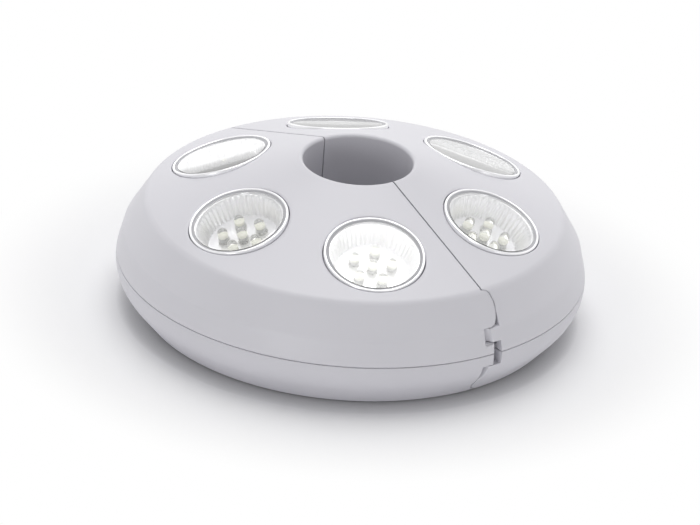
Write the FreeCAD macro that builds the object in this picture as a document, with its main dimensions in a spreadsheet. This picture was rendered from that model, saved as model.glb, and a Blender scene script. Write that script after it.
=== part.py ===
import FreeCAD, Part
import Sketcher
import math
import os
from FreeCAD import Placement, Rotation, Vector

# Round light that closes round an umbrella pole: two hinged half discs, each with three lamps.
# +Z is up, the lamps face up, and the origin is the middle of the flat base.
# The halves meet in the plane X = 0. The hinge is at -Y, and the mouth opens at +Y.
# Half a is on the -X side and carries the hinge pin. Half b is on the +X side and swings.

SIZES = [
    # outline of the body in section, each corner as a radius and a height above the base
    ("bore_radius", 27.0, "hole for the pole"),
    ("top_height", 82.3, "where the top cone meets the bore"),
    ("ridge_radius", 102.6, "outer edge of the top cone"),
    ("ridge_height", 55.0, ""),
    ("shoulder_radius", 112.4, "edge below the ridge"),
    ("shoulder_height", 38.0, ""),
    ("waist_radius", 116.9, "widest corner, before its rounding"),
    ("waist_height", 18.5, ""),
    ("base_radius", 100.8, "edge of the flat base"),
    ("lip_round", 1.6, "rounding at the mouth of the bore"),
    ("ridge_round", 6.0, ""),
    ("shoulder_round", 6.0, ""),
    ("waist_round", 19.5, ""),
    ("base_round", 10.0, ""),
    ("shell_wall", 2.4, "moulded wall"),
    ("parting_height", 25.7, "where the cover meets the base shell"),
    ("parting_gap", 0.3, "line between cover and base shell"),
    ("seam_gap", 0.4, "line between the two halves"),
    # lamps
    ("lamp_circle", 72.0, "radius on which the lamps stand"),
    ("lamp_angle", 60.0, "degrees from lamp to lamp"),
    ("ring_radius", 24.9, "outside of the bright ring"),
    ("ring_width", 2.0, "width of the bright ring"),
    ("ring_proud", 0.3, "height of the ring above the cover"),
    ("ring_gap", 0.4, "dark gap round the ring"),
    ("lip_radius", 21.4, "mouth of the reflector bowl"),
    ("floor_radius", 17.5, "floor of the reflector bowl"),
    ("bowl_depth", 12.5, "from the ring's top down to the floor"),
    ("lens_sunk", 0.8, "lens face below the ring's top"),
    ("lens_thick", 1.6, ""),
    ("lens_gap", 0.2, "between lens and ring"),
    ("flute_count", 30, "grooves in the bowl"),
    ("flute_depth", 0.75, "at the mouth of the bowl"),
    ("lamp_board_thick", 1.6, ""),
    ("lamp_board_gap", 0.8, "between board and socket"),
    ("socket_wall", 1.8, "cup that holds one lamp"),
    ("wire_hole_radius", 6.0, "in the floor of each socket"),
    ("led_radius", 2.5, ""),
    ("led_foot_radius", 2.9, ""),
    ("led_height", 6.8, ""),
    ("led_circle", 9.5, "radius of the five outer lights"),
    ("led_angle", 52.0, "degrees, direction of the first outer light"),
    # hinge
    ("pin_inset", 9.9, "from the widest corner in to the pin"),
    ("pin_radius", 2.0, ""),
    ("pin_start", 12.6, "foot of the pin"),
    ("pin_top", 41.0, "head of the pin"),
    ("pin_end_play", 0.3, ""),
    ("pin_play", 0.06, "running play of the pin in half b"),
    ("pin_fit", 0.02, "play of the pin in half a"),
    ("hinge_block", 13.0, "half width of the solid hinge block"),
    ("hinge_back", 12.5, "from the pin to the inner face of the block"),
    ("low_level", 19.5, "top of the bottom knuckle, half b"),
    ("middle_level", 31.4, "top of the middle knuckle, half a"),
    ("high_level", 38.7, "top of the upper knuckle, half b"),
    ("level_gap", 0.4, "between knuckles"),
    ("barrel_radius", 4.8, "round each knuckle's middle"),
    ("barrel_gap", 0.3, "between a barrel and the slot it turns in"),
    ("knuckle_root", 3.0, "how deep a knuckle is rooted in its own half"),
    ("tongue_reach", 0.9, "how far half a's knuckles cross the seam outside the pin"),
    ("tongue_rim_reach", 0.3, "the same at the rim"),
    ("tab_reach", 1.4, "the same for the upper knuckle of half b"),
    ("tab_end", 6.9, "from the pin out to where that knuckle is back at the seam"),
    ("lobe_reach", 4.3, "the same for the bottom knuckle of half b"),
    ("lobe_rim_reach", 1.8, "the same at the rim"),
    ("rim_depth", 8.4, "from the pin out to the rim, where the reaches are measured"),
    ("high_slot", 4.9, "half width of half b's upper slot at the rim"),
    ("middle_slot", 5.3, "half width of half b's lower slot at the rim"),
    ("notch_slot", 4.2, "half width of half a's upper slot at the rim"),
    ("low_slot", 5.6, "half width of half a's lower slot at the rim"),
    ("opening_angle", 25.0, "degrees that half b swings"),
    ("spring_outer", 3.7, ""),
    ("spring_inner", 2.4, ""),
    ("spring_low", 22.0, ""),
    ("spring_high", 29.0, ""),
    ("spring_wire", 1.1, ""),
    ("spring_leg", 12.0, "reach of each leg from the pin"),
    ("spring_play", 0.2, ""),
    # grip pads in the bore
    ("grip_radius", 19.0, "pole that the closed pads grip"),
    ("grip_angle", 100.0, "degrees round the pole for each pad"),
    ("grip_low", 8.0, ""),
    ("grip_high", 36.0, ""),
    ("grip_seat", 0.1, "between pad and bore"),
    ("groove_count", 5, "grooves in each pad"),
    ("groove_width", 1.6, ""),
    ("groove_depth", 1.2, ""),
    # batteries
    ("cell_radius", 7.25, "AA cell"),
    ("cell_length", 49.5, ""),
    ("cell_nub", 1.0, ""),
    ("cell_nub_radius", 2.75, ""),
    ("cell_pitch", 16.0, ""),
    ("cell_middle", 68.0, "distance of the pair of cells from the middle"),
    ("cell_height", 10.4, "height of the cells' axes"),
    ("bay_length", 53.5, ""),
    ("bay_width", 33.0, ""),
    ("bay_wall", 1.6, ""),
    ("bay_top", 18.4, "inside height of the battery bay"),
    ("contact_thick", 0.5, ""),
    ("contact_width", 7.0, ""),
    ("door_thick", 2.0, ""),
    ("door_gap", 0.35, "round the battery door"),
    ("door_rise", 0.3, "door above the ground"),
    # power button
    ("button_height", 31.6, ""),
    ("button_radius", 5.0, ""),
    ("button_gap", 0.3, ""),
    ("button_proud", 0.1, "the button's face beyond the cover"),
    ("button_travel", 1.0, ""),
    ("button_flange", 1.3, "step that keeps the button in"),
    ("button_flange_thick", 1.2, ""),
    ("button_seat_depth", 4.7, "the flange's front behind the cover's face"),
    ("dish_radius", 6.2, "flat round the button"),
    ("dish_depth", 1.5, "that flat behind the cover's face"),
    ("switch_size", 7.0, ""),
    ("switch_tip_radius", 1.7, ""),
    ("switch_tip", 1.2, ""),
    ("switch_gap", 0.2, "between the pressed button and the switch"),
    ("switch_board_wide", 18.0, ""),
    ("switch_board_tall", 18.0, ""),
    ("switch_board_thick", 1.6, ""),
    ("switch_rib", 2.0, "rib on each face of the board"),
    ("switch_slot", 0.2, ""),
    # screws
    ("post_radius", 4.0, ""),
    ("post_circle", 91.0, "radius of the outer screws"),
    ("post_angle", 30.0, "degrees of the outer screws from the middle lamp"),
    ("inner_post_circle", 40.0, "radius of the inner screw"),
    ("screw_radius", 1.5, ""),
    ("screw_length", 32.0, ""),
    ("screw_head_radius", 2.8, ""),
    ("screw_head_thick", 2.0, ""),
    ("screw_sink", 2.6, "how deep the screw heads sit"),
    ("screw_gap", 0.3, "round a screw in the base shell"),
    ("screw_fit", 0.05, "round a screw in the cover"),
]

doc = FreeCAD.newDocument("umbrella_light")
sheet = doc.addObject("Spreadsheet::Sheet", "Sizes")
for row, (alias, value, note) in enumerate(SIZES, 1):
    sheet.set(f"A{row}", alias)
    sheet.set(f"B{row}", str(value))
    sheet.set(f"C{row}", note)
    sheet.setAlias(f"B{row}", alias)
doc.recompute()

AXIS = Vector(0, 0, 1)
nodes = []


def size(alias):
    return float(sheet.get(alias))


def keep(feature, label):
    """Names a finished sub-part and lists it for export."""
    feature.Label = label
    nodes.append(feature)
    return feature


def solid(label, shape, place=None):
    """A sub-part whose shape is worked out below. Its place is set after its shape."""
    feature = doc.addObject("Part::Feature", label)
    feature.Shape = shape
    if place is not None:
        feature.Placement = place
    return keep(feature, label)


def primitive(kind, name, place=None, **bound):
    """A Part primitive with its sizes bound to the sheet."""
    feature = doc.addObject(kind, name)
    for prop, expression in bound.items():
        feature.setExpression(prop, expression)
    if place is not None:
        feature.Placement = place
    return feature


def value_of(expression):
    return float(sheet.evalExpression(expression.replace("Sizes.", "")))


def outline(body, plane, corners):
    """A closed outline on one of the body's own planes, each corner held by two bound distances."""
    sketch = body.newObject("Sketcher::SketchObject", body.Name + "_outline")
    support = next(o for o in body.Origin.OriginFeatures if o.Role == plane)
    sketch.AttachmentSupport = [(support, "")]
    sketch.MapMode = "FlatFace"
    points = [Vector(value_of(x), value_of(y), 0) for x, y in corners]
    count = len(points)
    for i in range(count):
        sketch.addGeometry(Part.LineSegment(points[i], points[(i + 1) % count]))
    for i in range(count):
        sketch.addConstraint(Sketcher.Constraint("Coincident", i, 2, (i + 1) % count, 1))
    for i, (x, y) in enumerate(corners):
        for kind, axis, text, at in (("DistanceX", -2, x, points[i].x), ("DistanceY", -1, y, points[i].y)):
            if text == "0":
                sketch.addConstraint(Sketcher.Constraint("PointOnObject", i, 1, axis))
                continue
            place = sketch.addConstraint(Sketcher.Constraint(kind, -1, 1, i, 1, at))
            sketch.setExpression(f"Constraints[{place}]", text)
    return sketch


def turned(label, corners, along="V_Axis", plane="XZ_Plane"):
    """A body turned about one axis of its outline."""
    body = doc.addObject("PartDesign::Body", label)
    sketch = outline(body, plane, corners)
    doc.recompute()
    turn = body.newObject("PartDesign::Revolution", label + "_turn")
    turn.Profile = sketch
    turn.ReferenceAxis = (sketch, [along])
    turn.Angle = 360
    sketch.Visibility = False
    doc.recompute()
    return body


def box(low, high):
    """A box between two corners."""
    return Part.makeBox(high[0] - low[0], high[1] - low[1], high[2] - low[2], Vector(*low))


def rod(radius, low, high, x=0.0, y=0.0):
    """An upright cylinder between two heights."""
    return Part.makeCylinder(radius, high - low, Vector(x, y, low))


def plate(corners, low, high):
    """An upright prism over an outline of straight edges."""
    points = [Vector(x, y, low) for x, y in corners]
    return Part.Face(Part.makePolygon(points + points[:1])).extrude(Vector(0, 0, high - low))


def ring_points(radius, height, count, turn=0.0):
    step = 2 * math.pi / count
    return [Vector(radius * math.cos(turn + i * step), radius * math.sin(turn + i * step), height)
            for i in range(count)]


def skin(rings):
    """A solid of flat faces between rings of points, each ring with as many points as the next."""
    faces = [Part.Face(Part.makePolygon(ends + ends[:1])) for ends in (rings[0], rings[-1])]
    count = len(rings[0])
    for low, high in zip(rings, rings[1:]):
        for i in range(count):
            j = (i + 1) % count
            faces.append(Part.Face(Part.makePolygon([low[i], low[j], high[j], high[i], low[i]])))
    return Part.Solid(Part.Shell(faces))


def post(radius, low, high, x=0.0, y=0.0, sides=12):
    """An upright prism whose flats stand at the given radius."""
    corner = radius / math.cos(math.pi / sides)
    shape = skin([ring_points(corner, z, sides) for z in (low, high)])
    shape.translate(Vector(x, y, 0))
    return shape


# ---- the section of the body ----


def section_corners():
    """Corners as (radius, height, rounding, flats that draw the rounding), from the bore's mouth outwards."""
    return [
        (size("bore_radius"), size("top_height"), size("lip_round"), 2),
        (size("ridge_radius"), size("ridge_height"), size("ridge_round"), 2),
        (size("shoulder_radius"), size("shoulder_height"), size("shoulder_round"), 1),
        (size("waist_radius"), size("waist_height"), size("waist_round"), 2),
        (size("base_radius"), 0.0, size("base_round"), 1),
        (size("bore_radius"), 0.0, 0.0, 0),
    ]


def rounded_section(corners):
    """The section with each rounding drawn as a few flats that touch its arc from outside."""
    points = []
    count = len(corners)
    for i, (r, z, rounding, flats) in enumerate(corners):
        corner = Vector(r, 0, z)
        if flats == 0:
            points.append(corner)
            continue
        before = (Vector(corners[i - 1][0], 0, corners[i - 1][1]) - corner).normalize()
        after = (Vector(corners[(i + 1) % count][0], 0, corners[(i + 1) % count][1]) - corner).normalize()
        half = before.getAngle(after) / 2
        centre = corner + (before + after).normalize() * (rounding / math.sin(half))
        start = corner + before * (rounding / math.tan(half)) - centre
        end = corner + after * (rounding / math.tan(half)) - centre
        bend = start.getAngle(end)
        step = bend / (flats + 1)
        grow = 1 / math.cos(step / 2)
        for k in range(flats + 1):
            turn = step * (k + 0.5) / bend
            ray = start * math.sin((1 - turn) * bend) + end * math.sin(turn * bend)
            points.append(centre + ray.normalize() * (rounding * grow))
    return Part.makePolygon(points + points[:1])


def inset(corners, wall):
    """The same section drawn one wall further in, with sharp corners."""
    count = len(corners)
    lines = []
    for i in range(count):
        a = Vector(corners[i][0], corners[i][1], 0)
        b = Vector(corners[(i + 1) % count][0], corners[(i + 1) % count][1], 0)
        along = (b - a).normalize()
        inwards = Vector(along.y, -along.x, 0)
        lines.append((a + inwards * wall, along))
    inner = []
    for i in range(count):
        (p, d), (q, e) = lines[i - 1], lines[i]
        step = ((q.x - p.x) * e.y - (q.y - p.y) * e.x) / (d.x * e.y - d.y * e.x)
        meet = p + d * step
        inner.append((meet.x, meet.y))
    return inner


def hollow_shape(wall):
    """The room inside a casing of the given wall, with flat panels."""
    sides = 32
    top, ridge, shoulder, waist, base, foot = inset(section_corners(), wall)
    room = skin([ring_points(r, z, sides) for r, z in (base, waist, shoulder, ridge, top)])
    bore = top[0] / math.cos(math.pi / sides)
    return room.cut(skin([ring_points(bore, z, sides) for z in (foot[1] - 1.0, top[1] + 1.0)]))


FORM = Part.Face(rounded_section(section_corners())).revolve(Vector(0, 0, 0), AXIS, 360)
BEYOND = 10.0  # how far cutting shapes pass the body
REACH = size("waist_radius") + BEYOND
TALL = size("top_height") + BEYOND

# ---- lamps ----

LAMP_TILT = math.degrees(math.atan2(
    size("top_height") - size("ridge_height"), size("ridge_radius") - size("bore_radius")))
LAMP_DROP = (size("lamp_circle") - size("bore_radius")) * math.tan(math.radians(LAMP_TILT))
LAMP_HEIGHT = size("top_height") - LAMP_DROP
FLOOR = size("ring_proud") - size("bowl_depth")  # heights in a lamp's own frame
LENS_TOP = size("ring_proud") - size("lens_sunk")
LENS_SEAT = LENS_TOP - size("lens_thick")
SOCKET_FLOOR = FLOOR - size("lamp_board_thick")
LAMPS = [(n + 1, 180 + (n - 1) * size("lamp_angle")) for n in range(3)]
LAMPS += [(n + 4, (n - 1) * size("lamp_angle")) for n in range(3)]


def lamp_place(angle):
    """A lamp's own frame: origin on the cover, z along the lamp's axis, square to the top cone."""
    a = math.radians(angle)
    base = Vector(size("lamp_circle") * math.cos(a), size("lamp_circle") * math.sin(a), LAMP_HEIGHT)
    return Placement(base, Rotation(Vector(-math.sin(a), math.cos(a), 0), LAMP_TILT))


def fluted(radius, height):
    """Outline of the bowl at one height: one outer and one inner point for each flute."""
    count = int(size("flute_count"))
    outer = ring_points(radius, height, count)
    narrower = 1 - size("flute_depth") / size("lip_radius")
    inner = ring_points(radius * narrower, height, count, math.pi / count)
    return [p for pair in zip(outer, inner) for p in pair]


def reflector_shape():
    """A ring with a seat for the lens, and a fluted bowl that narrows to the board."""
    count = int(size("flute_count"))
    ring = size("ring_radius")
    top = size("ring_proud")
    bevel = size("ring_width") / 3
    rim = ((ring, FLOOR), (ring, top - bevel), (ring - bevel, top))
    skirt = skin([ring_points(r, z, count) for r, z in rim])
    seat = skin([ring_points(ring - size("ring_width"), z, count) for z in (LENS_SEAT, top + 1.0)])
    slope = (size("lip_radius") - size("floor_radius")) / (LENS_SEAT - FLOOR)
    ends = (FLOOR - 1.0, LENS_SEAT + 1.0)
    bowl = skin([fluted(size("floor_radius") + slope * (z - FLOOR), z) for z in ends])
    return skirt.cut([seat, bowl])


def led_shape():
    """One clear light: a wider foot, a straight body and a narrower top."""
    sides = 7
    body = size("led_radius")
    high = size("led_height")
    profile = [(size("led_foot_radius"), 0.0), (body, high - body), (body / 2, high)]
    return skin([ring_points(r, z, sides) for r, z in profile])


def led_cluster_shape():
    """One light in the middle and five round it, standing on the board."""
    places = [Vector(0, 0, FLOOR)]
    turn = math.radians(size("led_angle"))
    places += ring_points(size("led_circle"), FLOOR, 5, turn)
    lights = []
    for place in places:
        light = led_shape()
        light.translate(place)
        lights.append(light)
    return Part.makeCompound(lights)


def make_lamps():
    reflector = reflector_shape()
    lights = led_cluster_shape()
    for number, angle in LAMPS:
        place = lamp_place(angle)
        solid(f"reflector_{number}", reflector.copy(), place)
        solid(f"led_cluster_{number}", lights.copy(), place)
        lens = primitive("Part::Prism", f"lens_{number}", Polygon="Sizes.flute_count",
                         Circumradius="Sizes.ring_radius - Sizes.ring_width - Sizes.lens_gap",
                         Height="Sizes.lens_thick")
        lens.Placement = place * Placement(Vector(0, 0, LENS_SEAT), Rotation())
        keep(lens, f"lens_{number}")
        board = primitive("Part::Prism", f"led_board_{number}",
                          Circumradius="Sizes.ring_radius - Sizes.lamp_board_gap",
                          Height="Sizes.lamp_board_thick")
        board.Polygon = 8
        board.Placement = place * Placement(Vector(0, 0, SOCKET_FLOOR), Rotation())
        keep(board, f"led_board_{number}")


def socket_shapes(angle):
    """The cup that a lamp sits in, as what it adds to the cover and what it takes away."""
    place = lamp_place(angle)
    inner = size("ring_radius") + size("ring_gap")
    outer = inner + size("socket_wall")
    low = SOCKET_FLOOR - size("socket_wall")
    cup = post(outer, low, 0.0)
    room = skin([ring_points(inner, z, int(size("flute_count"))) for z in (SOCKET_FLOOR, 10.0)])
    wires = post(size("wire_hole_radius"), low - 1.0, SOCKET_FLOOR + 1.0)
    for shape in (cup, room, wires):
        shape.Placement = place
    return cup, room.fuse(wires)


# ---- screws ----


def post_places(side):
    """Three screws in each half, as X and Y. side is -1 for half a and 1 for half b."""
    a = math.radians(size("post_angle"))
    r = size("post_circle")
    return [(side * r * math.cos(a), r * math.sin(a)), (side * r * math.cos(a), -r * math.sin(a)),
            (side * size("inner_post_circle"), 0.0)]


def make_screws(side, name):
    start = size("screw_sink")
    screws = []
    for x, y in post_places(side):
        head = post(size("screw_head_radius"), start, start + size("screw_head_thick"), x, y)
        screws.append(head.fuse(post(size("screw_radius"), start, start + size("screw_length"), x, y)))
    solid(name, Part.makeCompound(screws))


# ---- hinge ----

PIN_Y = size("pin_inset") - size("waist_radius")


def knuckle(low, high, side, edge):
    """A barrel round the pin and the web that joins it to its own half.
    edge gives the web's outer edge as (reach past the seam, distance from the pin out to the rim)."""
    root = size("knuckle_root")
    corners = [(root, 0.0), (0.0, 0.0)] + [(-reach, out) for reach, out in edge] + [(root, edge[-1][1])]
    web = plate([(side * x, PIN_Y - out) for x, out in corners], low, high)
    return rod(size("barrel_radius"), low, high, 0, PIN_Y).fuse(web)


def slot(low, high, side, rim_width):
    """Room for the other half's knuckle: round behind the pin, with straight walls out past the rim."""
    radius = size("barrel_radius") + size("barrel_gap")
    past = REACH + PIN_Y
    wide = radius + (rim_width - radius) * past / size("rim_depth")
    seam = -size("seam_gap") / 2
    corners = [(seam, 0.0), (radius, 0.0), (wide, past), (seam, past)]
    walls = plate([(side * x, PIN_Y - out) for x, out in corners], low, high)
    return rod(radius, low, high, 0, PIN_Y).fuse(walls)


def knuckles(side):
    """What the hinge adds to one half and what it takes away from it. Half a has the top and the
    middle knuckle, and half b the upper and the bottom one."""
    gap = size("level_gap") / 2
    low = size("low_level")
    middle = size("middle_level")
    high = size("high_level")
    past = REACH + PIN_Y
    depth = size("rim_depth")
    start = math.sqrt(size("barrel_radius") ** 2 - size("tab_reach") ** 2)
    if side < 0:
        tongue = [(size("tongue_reach"), start), (size("tongue_reach"), size("tab_end")),
                  (size("tongue_rim_reach"), depth), (size("tongue_rim_reach"), past)]
        add = [rod(size("barrel_radius"), high + gap, TALL, 0, PIN_Y),
               knuckle(low + gap, middle - gap, side, tongue)]
        take = [slot(-1.0, low + gap, side, size("low_slot")),
                slot(middle - gap, high + gap, side, size("notch_slot"))]
    else:
        seam = -size("seam_gap") / 2
        tab = [(size("tab_reach"), start), (seam, size("tab_end")), (seam, past)]
        lobe_start = math.sqrt(size("barrel_radius") ** 2 - size("lobe_reach") ** 2)
        lobe_rim = size("lobe_rim_reach")
        lobe = [(size("lobe_reach"), lobe_start), (lobe_rim, depth), (lobe_rim, past)]
        add = [knuckle(0.0, low - gap, side, lobe), knuckle(middle + gap, high - gap, side, tab)]
        take = [slot(low - gap, middle + gap, side, size("middle_slot")),
                slot(high - gap, TALL, side, size("high_slot"))]
    return add, take


def hinge_holes(side):
    """Holes for the pin and the spring."""
    play = size("pin_fit") if side < 0 else size("pin_play")
    ends = size("pin_end_play")
    holes = [rod(size("pin_radius") + play, size("pin_start") - ends, size("pin_top") + ends, 0, PIN_Y)]
    play = size("spring_play")
    low = size("spring_low") - play
    high = size("spring_high") + play
    wire = size("spring_wire")
    coil_y = PIN_Y + size("spring_outer") - wire
    leg = size("spring_leg") + play
    if side < 0:
        holes.append(post(size("spring_outer") + play, low, high, 0, PIN_Y))
        holes.append(box((-leg, coil_y - play, low), (0, coil_y + wire + play, low + wire + 2 * play)))
        holes.append(box((0, PIN_Y, high - wire - 2 * play), (leg, coil_y + wire + play, high)))
    else:
        holes.append(box((0, coil_y - play, high - wire - 2 * play), (leg, coil_y + wire + play, high)))
    return holes


def make_pin():
    pin = turned("hinge_pin", [
        ("0", "Sizes.pin_start"),
        ("Sizes.pin_radius", "Sizes.pin_start"),
        ("Sizes.pin_radius", "Sizes.pin_top"),
        ("0", "Sizes.pin_top"),
    ])
    pin.setExpression("Placement.Base.y", "Sizes.pin_inset - Sizes.waist_radius")
    keep(pin, "hinge_pin")


def make_spring():
    """The wound wire as one sleeve, with a leg in each half."""
    low = size("spring_low")
    high = size("spring_high")
    wire = size("spring_wire")
    coil_y = PIN_Y + size("spring_outer") - wire
    sleeve = post(size("spring_outer"), low, high, 0, PIN_Y)
    sleeve = sleeve.cut(post(size("spring_inner"), low, high, 0, PIN_Y))
    leg_a = box((-size("spring_leg"), coil_y, low), (0, coil_y + wire, low + wire))
    leg_b = box((0, coil_y, high - wire), (size("spring_leg"), coil_y + wire, high))
    solid("hinge_spring", sleeve.fuse([leg_a, leg_b]).removeSplitter())


# ---- housings ----


def bay_box(side, low, high, grow):
    """Box over the battery bay, grown by a margin on each side."""
    x = side * size("cell_middle")
    wide = size("bay_width") / 2 + grow
    length = size("bay_length") / 2 + grow
    return box((x - wide, -length, low), (x + wide, length, high))


def half_housing(side):
    """One half of the body as a hollow casing, not yet split into cover and base shell."""
    seam = size("seam_gap") / 2
    wall = size("shell_wall")
    far = REACH * side
    x_low, x_high = sorted((side * seam, far))
    half = FORM.common(box((x_low, -REACH, -1.0), (x_high, REACH, TALL)))
    x_low, x_high = sorted((side * (seam + wall), far))
    cavity = hollow_shape(size("shell_wall")).common(box((x_low, -REACH, -1.0), (x_high, REACH, TALL)))
    block = size("hinge_block")
    cavity = cavity.cut(box((-block, -REACH, -1.0), (block, PIN_Y + size("hinge_back"), TALL)))
    add, take = knuckles(side)
    half = half.cut(cavity)
    half = half.cut(take)
    half = half.fuse([piece.common(FORM) for piece in add])
    return half.cut(hinge_holes(side))


# the cover's face at the button, the flat dished round it and the seat of the button's flange
BUTTON_SIDE = ("Sizes.shoulder_radius + (Sizes.waist_radius - Sizes.shoulder_radius)"
               " * (Sizes.shoulder_height - Sizes.button_height)"
               " / (Sizes.shoulder_height - Sizes.waist_height)")
BUTTON_FACE = BUTTON_SIDE + " + Sizes.button_proud"
BUTTON_SEAT = BUTTON_SIDE + " - Sizes.button_seat_depth"
DISH_FACE = BUTTON_SIDE + " - Sizes.dish_depth"


def switch_place():
    """X of the switch board's back face, from the button's travel."""
    back = value_of(BUTTON_SEAT) - size("button_flange_thick") - size("button_travel") - size("switch_gap")
    return back - size("switch_tip") - size("switch_size") - size("switch_board_thick")


def make_cover(side, name, housing):
    low = size("parting_height") + size("parting_gap") / 2
    cover = housing.common(box((-REACH, -REACH, low), (REACH, REACH, TALL)))
    additions = []
    rooms = []
    for number, angle in LAMPS:
        if (number > 3) == (side > 0):
            cup, room = socket_shapes(angle)
            additions.append(cup)
            rooms.append(room)
    for x, y in post_places(side):
        additions.append(post(size("post_radius"), low, TALL, x, y))
        rooms.append(post(size("screw_radius") + size("screw_fit"), low - 1.0,
                          size("screw_sink") + size("screw_length") + 1.0, x, y))
    if side > 0:
        height = size("button_height")
        hole = size("button_radius") + size("button_gap")
        seat = value_of(BUTTON_SEAT)
        behind = seat - size("button_flange_thick") - size("button_travel") - size("switch_gap")
        for radius, start, end in ((hole + size("button_flange"), behind, seat), (hole, behind, REACH),
                                   (size("dish_radius"), value_of(DISH_FACE), REACH)):
            rooms.append(Part.makeCylinder(radius, end - start, Vector(start, 0, height), Vector(1, 0, 0)))
    inside = hollow_shape(size("shell_wall") / 2).common(box((-REACH, -REACH, low), (REACH, REACH, TALL)))
    cover = cover.fuse([piece.common(inside) for piece in additions])
    solid(name, cover.cut(rooms).removeSplitter())


def make_base(side, name, housing):
    high = size("parting_height") - size("parting_gap") / 2
    base = housing.common(box((-REACH, -REACH, -1.0), (REACH, REACH, high)))
    wall = size("bay_wall")
    additions = [bay_box(side, 0.0, size("bay_top") + wall, wall)]
    rooms = [bay_box(side, -1.0, size("bay_top"), 0.0)]
    for x, y in post_places(side):
        additions.append(post(size("post_radius"), 0.0, high, x, y))
        rooms.append(post(size("screw_radius") + size("screw_gap"), -1.0, high + 1.0, x, y))
        rooms.append(post(size("screw_head_radius") + size("screw_gap"), -1.0,
                          size("screw_sink") + size("screw_head_thick") + 0.05, x, y))
    if side > 0:
        back = switch_place()
        slot = size("switch_slot")
        thick = size("switch_board_thick")
        rib = size("switch_rib")
        wide = size("switch_board_wide") / 2
        board_low = size("button_height") - size("switch_board_tall") / 2
        additions.append(box((back - rib - slot, -wide - rib, size("shell_wall") / 2),
                             (back + thick + rib + slot, wide + rib, high)))
        rooms.append(box((back - slot, -wide - slot, board_low - slot),
                         (back + thick + slot, wide + slot, high + 1.0)))
    base = base.fuse([piece.common(FORM) for piece in additions])
    solid(name, base.cut(rooms).removeSplitter())


# ---- inner pieces of one half ----


def make_grip_pad(side, name):
    """A rubber pad that lines half of the bore, with upright grooves in its face."""
    turn = (180.0 if side < 0 else 0.0) - size("grip_angle") / 2
    place = Placement(Vector(0, 0, size("grip_low")), Rotation(AXIS, turn))
    outer = primitive("Part::Cylinder", name + "_back", place, Radius="Sizes.bore_radius - Sizes.grip_seat",
                      Height="Sizes.grip_high - Sizes.grip_low", Angle="Sizes.grip_angle")
    inner = primitive("Part::Cylinder", name + "_face", place, Radius="Sizes.grip_radius",
                      Height="Sizes.grip_high - Sizes.grip_low", Angle="360")
    tools = [inner]
    count = int(size("groove_count"))
    for i in range(count):
        at = turn + size("grip_angle") * (i + 0.5) / count
        groove = primitive("Part::Box", f"{name}_groove_{i + 1}", None,
                           Length="Sizes.grip_radius + Sizes.groove_depth", Width="Sizes.groove_width",
                           Height="Sizes.grip_high - Sizes.grip_low")
        shift = Placement(Vector(0, -size("groove_width") / 2, 0), Rotation())
        groove.Placement = Placement(Vector(0, 0, size("grip_low")), Rotation(AXIS, at)) * shift
        tools.append(groove)
    cutter = doc.addObject("Part::MultiFuse", name + "_cutter")
    cutter.Shapes = tools
    pad = doc.addObject("Part::Cut", name)
    pad.Base = outer
    pad.Tool = cutter
    keep(pad, name)


def make_cells(side, name):
    """Two cells side by side, pointing opposite ways."""
    cells = []
    for way in (-1, 1):
        x = side * size("cell_middle") + way * size("cell_pitch") / 2
        start = Vector(x, -way * size("cell_length") / 2, size("cell_height"))
        along = Vector(0, way, 0)
        can = post(size("cell_radius") * math.cos(math.pi / 12), 0.0, size("cell_length"))
        nub = post(size("cell_nub_radius"), 0.0, size("cell_length") + size("cell_nub"))
        cell = can.fuse(nub)
        cell.Placement = Placement(start, Rotation(Vector(0, 0, 1), along))
        cells.append(cell)
    solid(name, Part.makeCompound(cells))


def make_contacts(side, name):
    """One strip behind each end of the pair of cells."""
    strips = []
    wide = (size("cell_pitch") + size("contact_width")) / 2
    x = side * size("cell_middle")
    tall = size("contact_width") / 2
    z = size("cell_height")
    end = size("bay_length") / 2
    for way in (-1, 1):
        y_low, y_high = sorted((way * end, way * (end - size("contact_thick"))))
        strips.append(box((x - wide, y_low, z - tall), (x + wide, y_high, z + tall)))
    solid(name, Part.makeCompound(strips))


def make_door(side, name):
    """The plate that closes the battery bay from below."""
    place = Placement(Vector(side * size("cell_middle"), 0, size("door_rise")), Rotation())
    body = doc.addObject("PartDesign::Body", name)
    half_x = "(Sizes.bay_width / 2 - Sizes.door_gap)"
    half_y = "(Sizes.bay_length / 2 - Sizes.door_gap)"
    sketch = outline(body, "XY_Plane", [
        ("-" + half_x, "-" + half_y), (half_x, "-" + half_y), (half_x, half_y), ("-" + half_x, half_y)])
    doc.recompute()
    pad = body.newObject("PartDesign::Pad", name + "_pad")
    pad.Profile = sketch
    pad.setExpression("Length", "Sizes.door_thick")
    body.Placement = place
    keep(body, name)


def make_button():
    """A round push button, held in by a step behind the cover."""
    button = turned("power_button", [
        (BUTTON_SEAT + " - Sizes.button_flange_thick", "0"),
        (BUTTON_SEAT + " - Sizes.button_flange_thick", "Sizes.button_radius + Sizes.button_flange"),
        (BUTTON_SEAT, "Sizes.button_radius + Sizes.button_flange"),
        (BUTTON_SEAT, "Sizes.button_radius"),
        (BUTTON_FACE, "Sizes.button_radius"),
        (BUTTON_FACE, "0"),
    ], along="H_Axis")
    button.setExpression("Placement.Base.z", "Sizes.button_height")
    keep(button, "power_button")


def make_switch():
    back = switch_place()
    thick = size("switch_board_thick")
    height = size("button_height")
    wide = size("switch_board_wide") / 2
    tall = size("switch_board_tall") / 2
    solid("switch_board", box((back, -wide, height - tall), (back + thick, wide, height + tall)))
    half = size("switch_size") / 2
    front = back + thick + size("switch_size")
    body = box((back + thick, -half, height - half), (front, half, height + half))
    tip = Part.makeCylinder(size("switch_tip_radius"), size("switch_tip"),
                            Vector(front, 0, height), Vector(1, 0, 0))
    solid("push_switch", body.fuse(tip))


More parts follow.
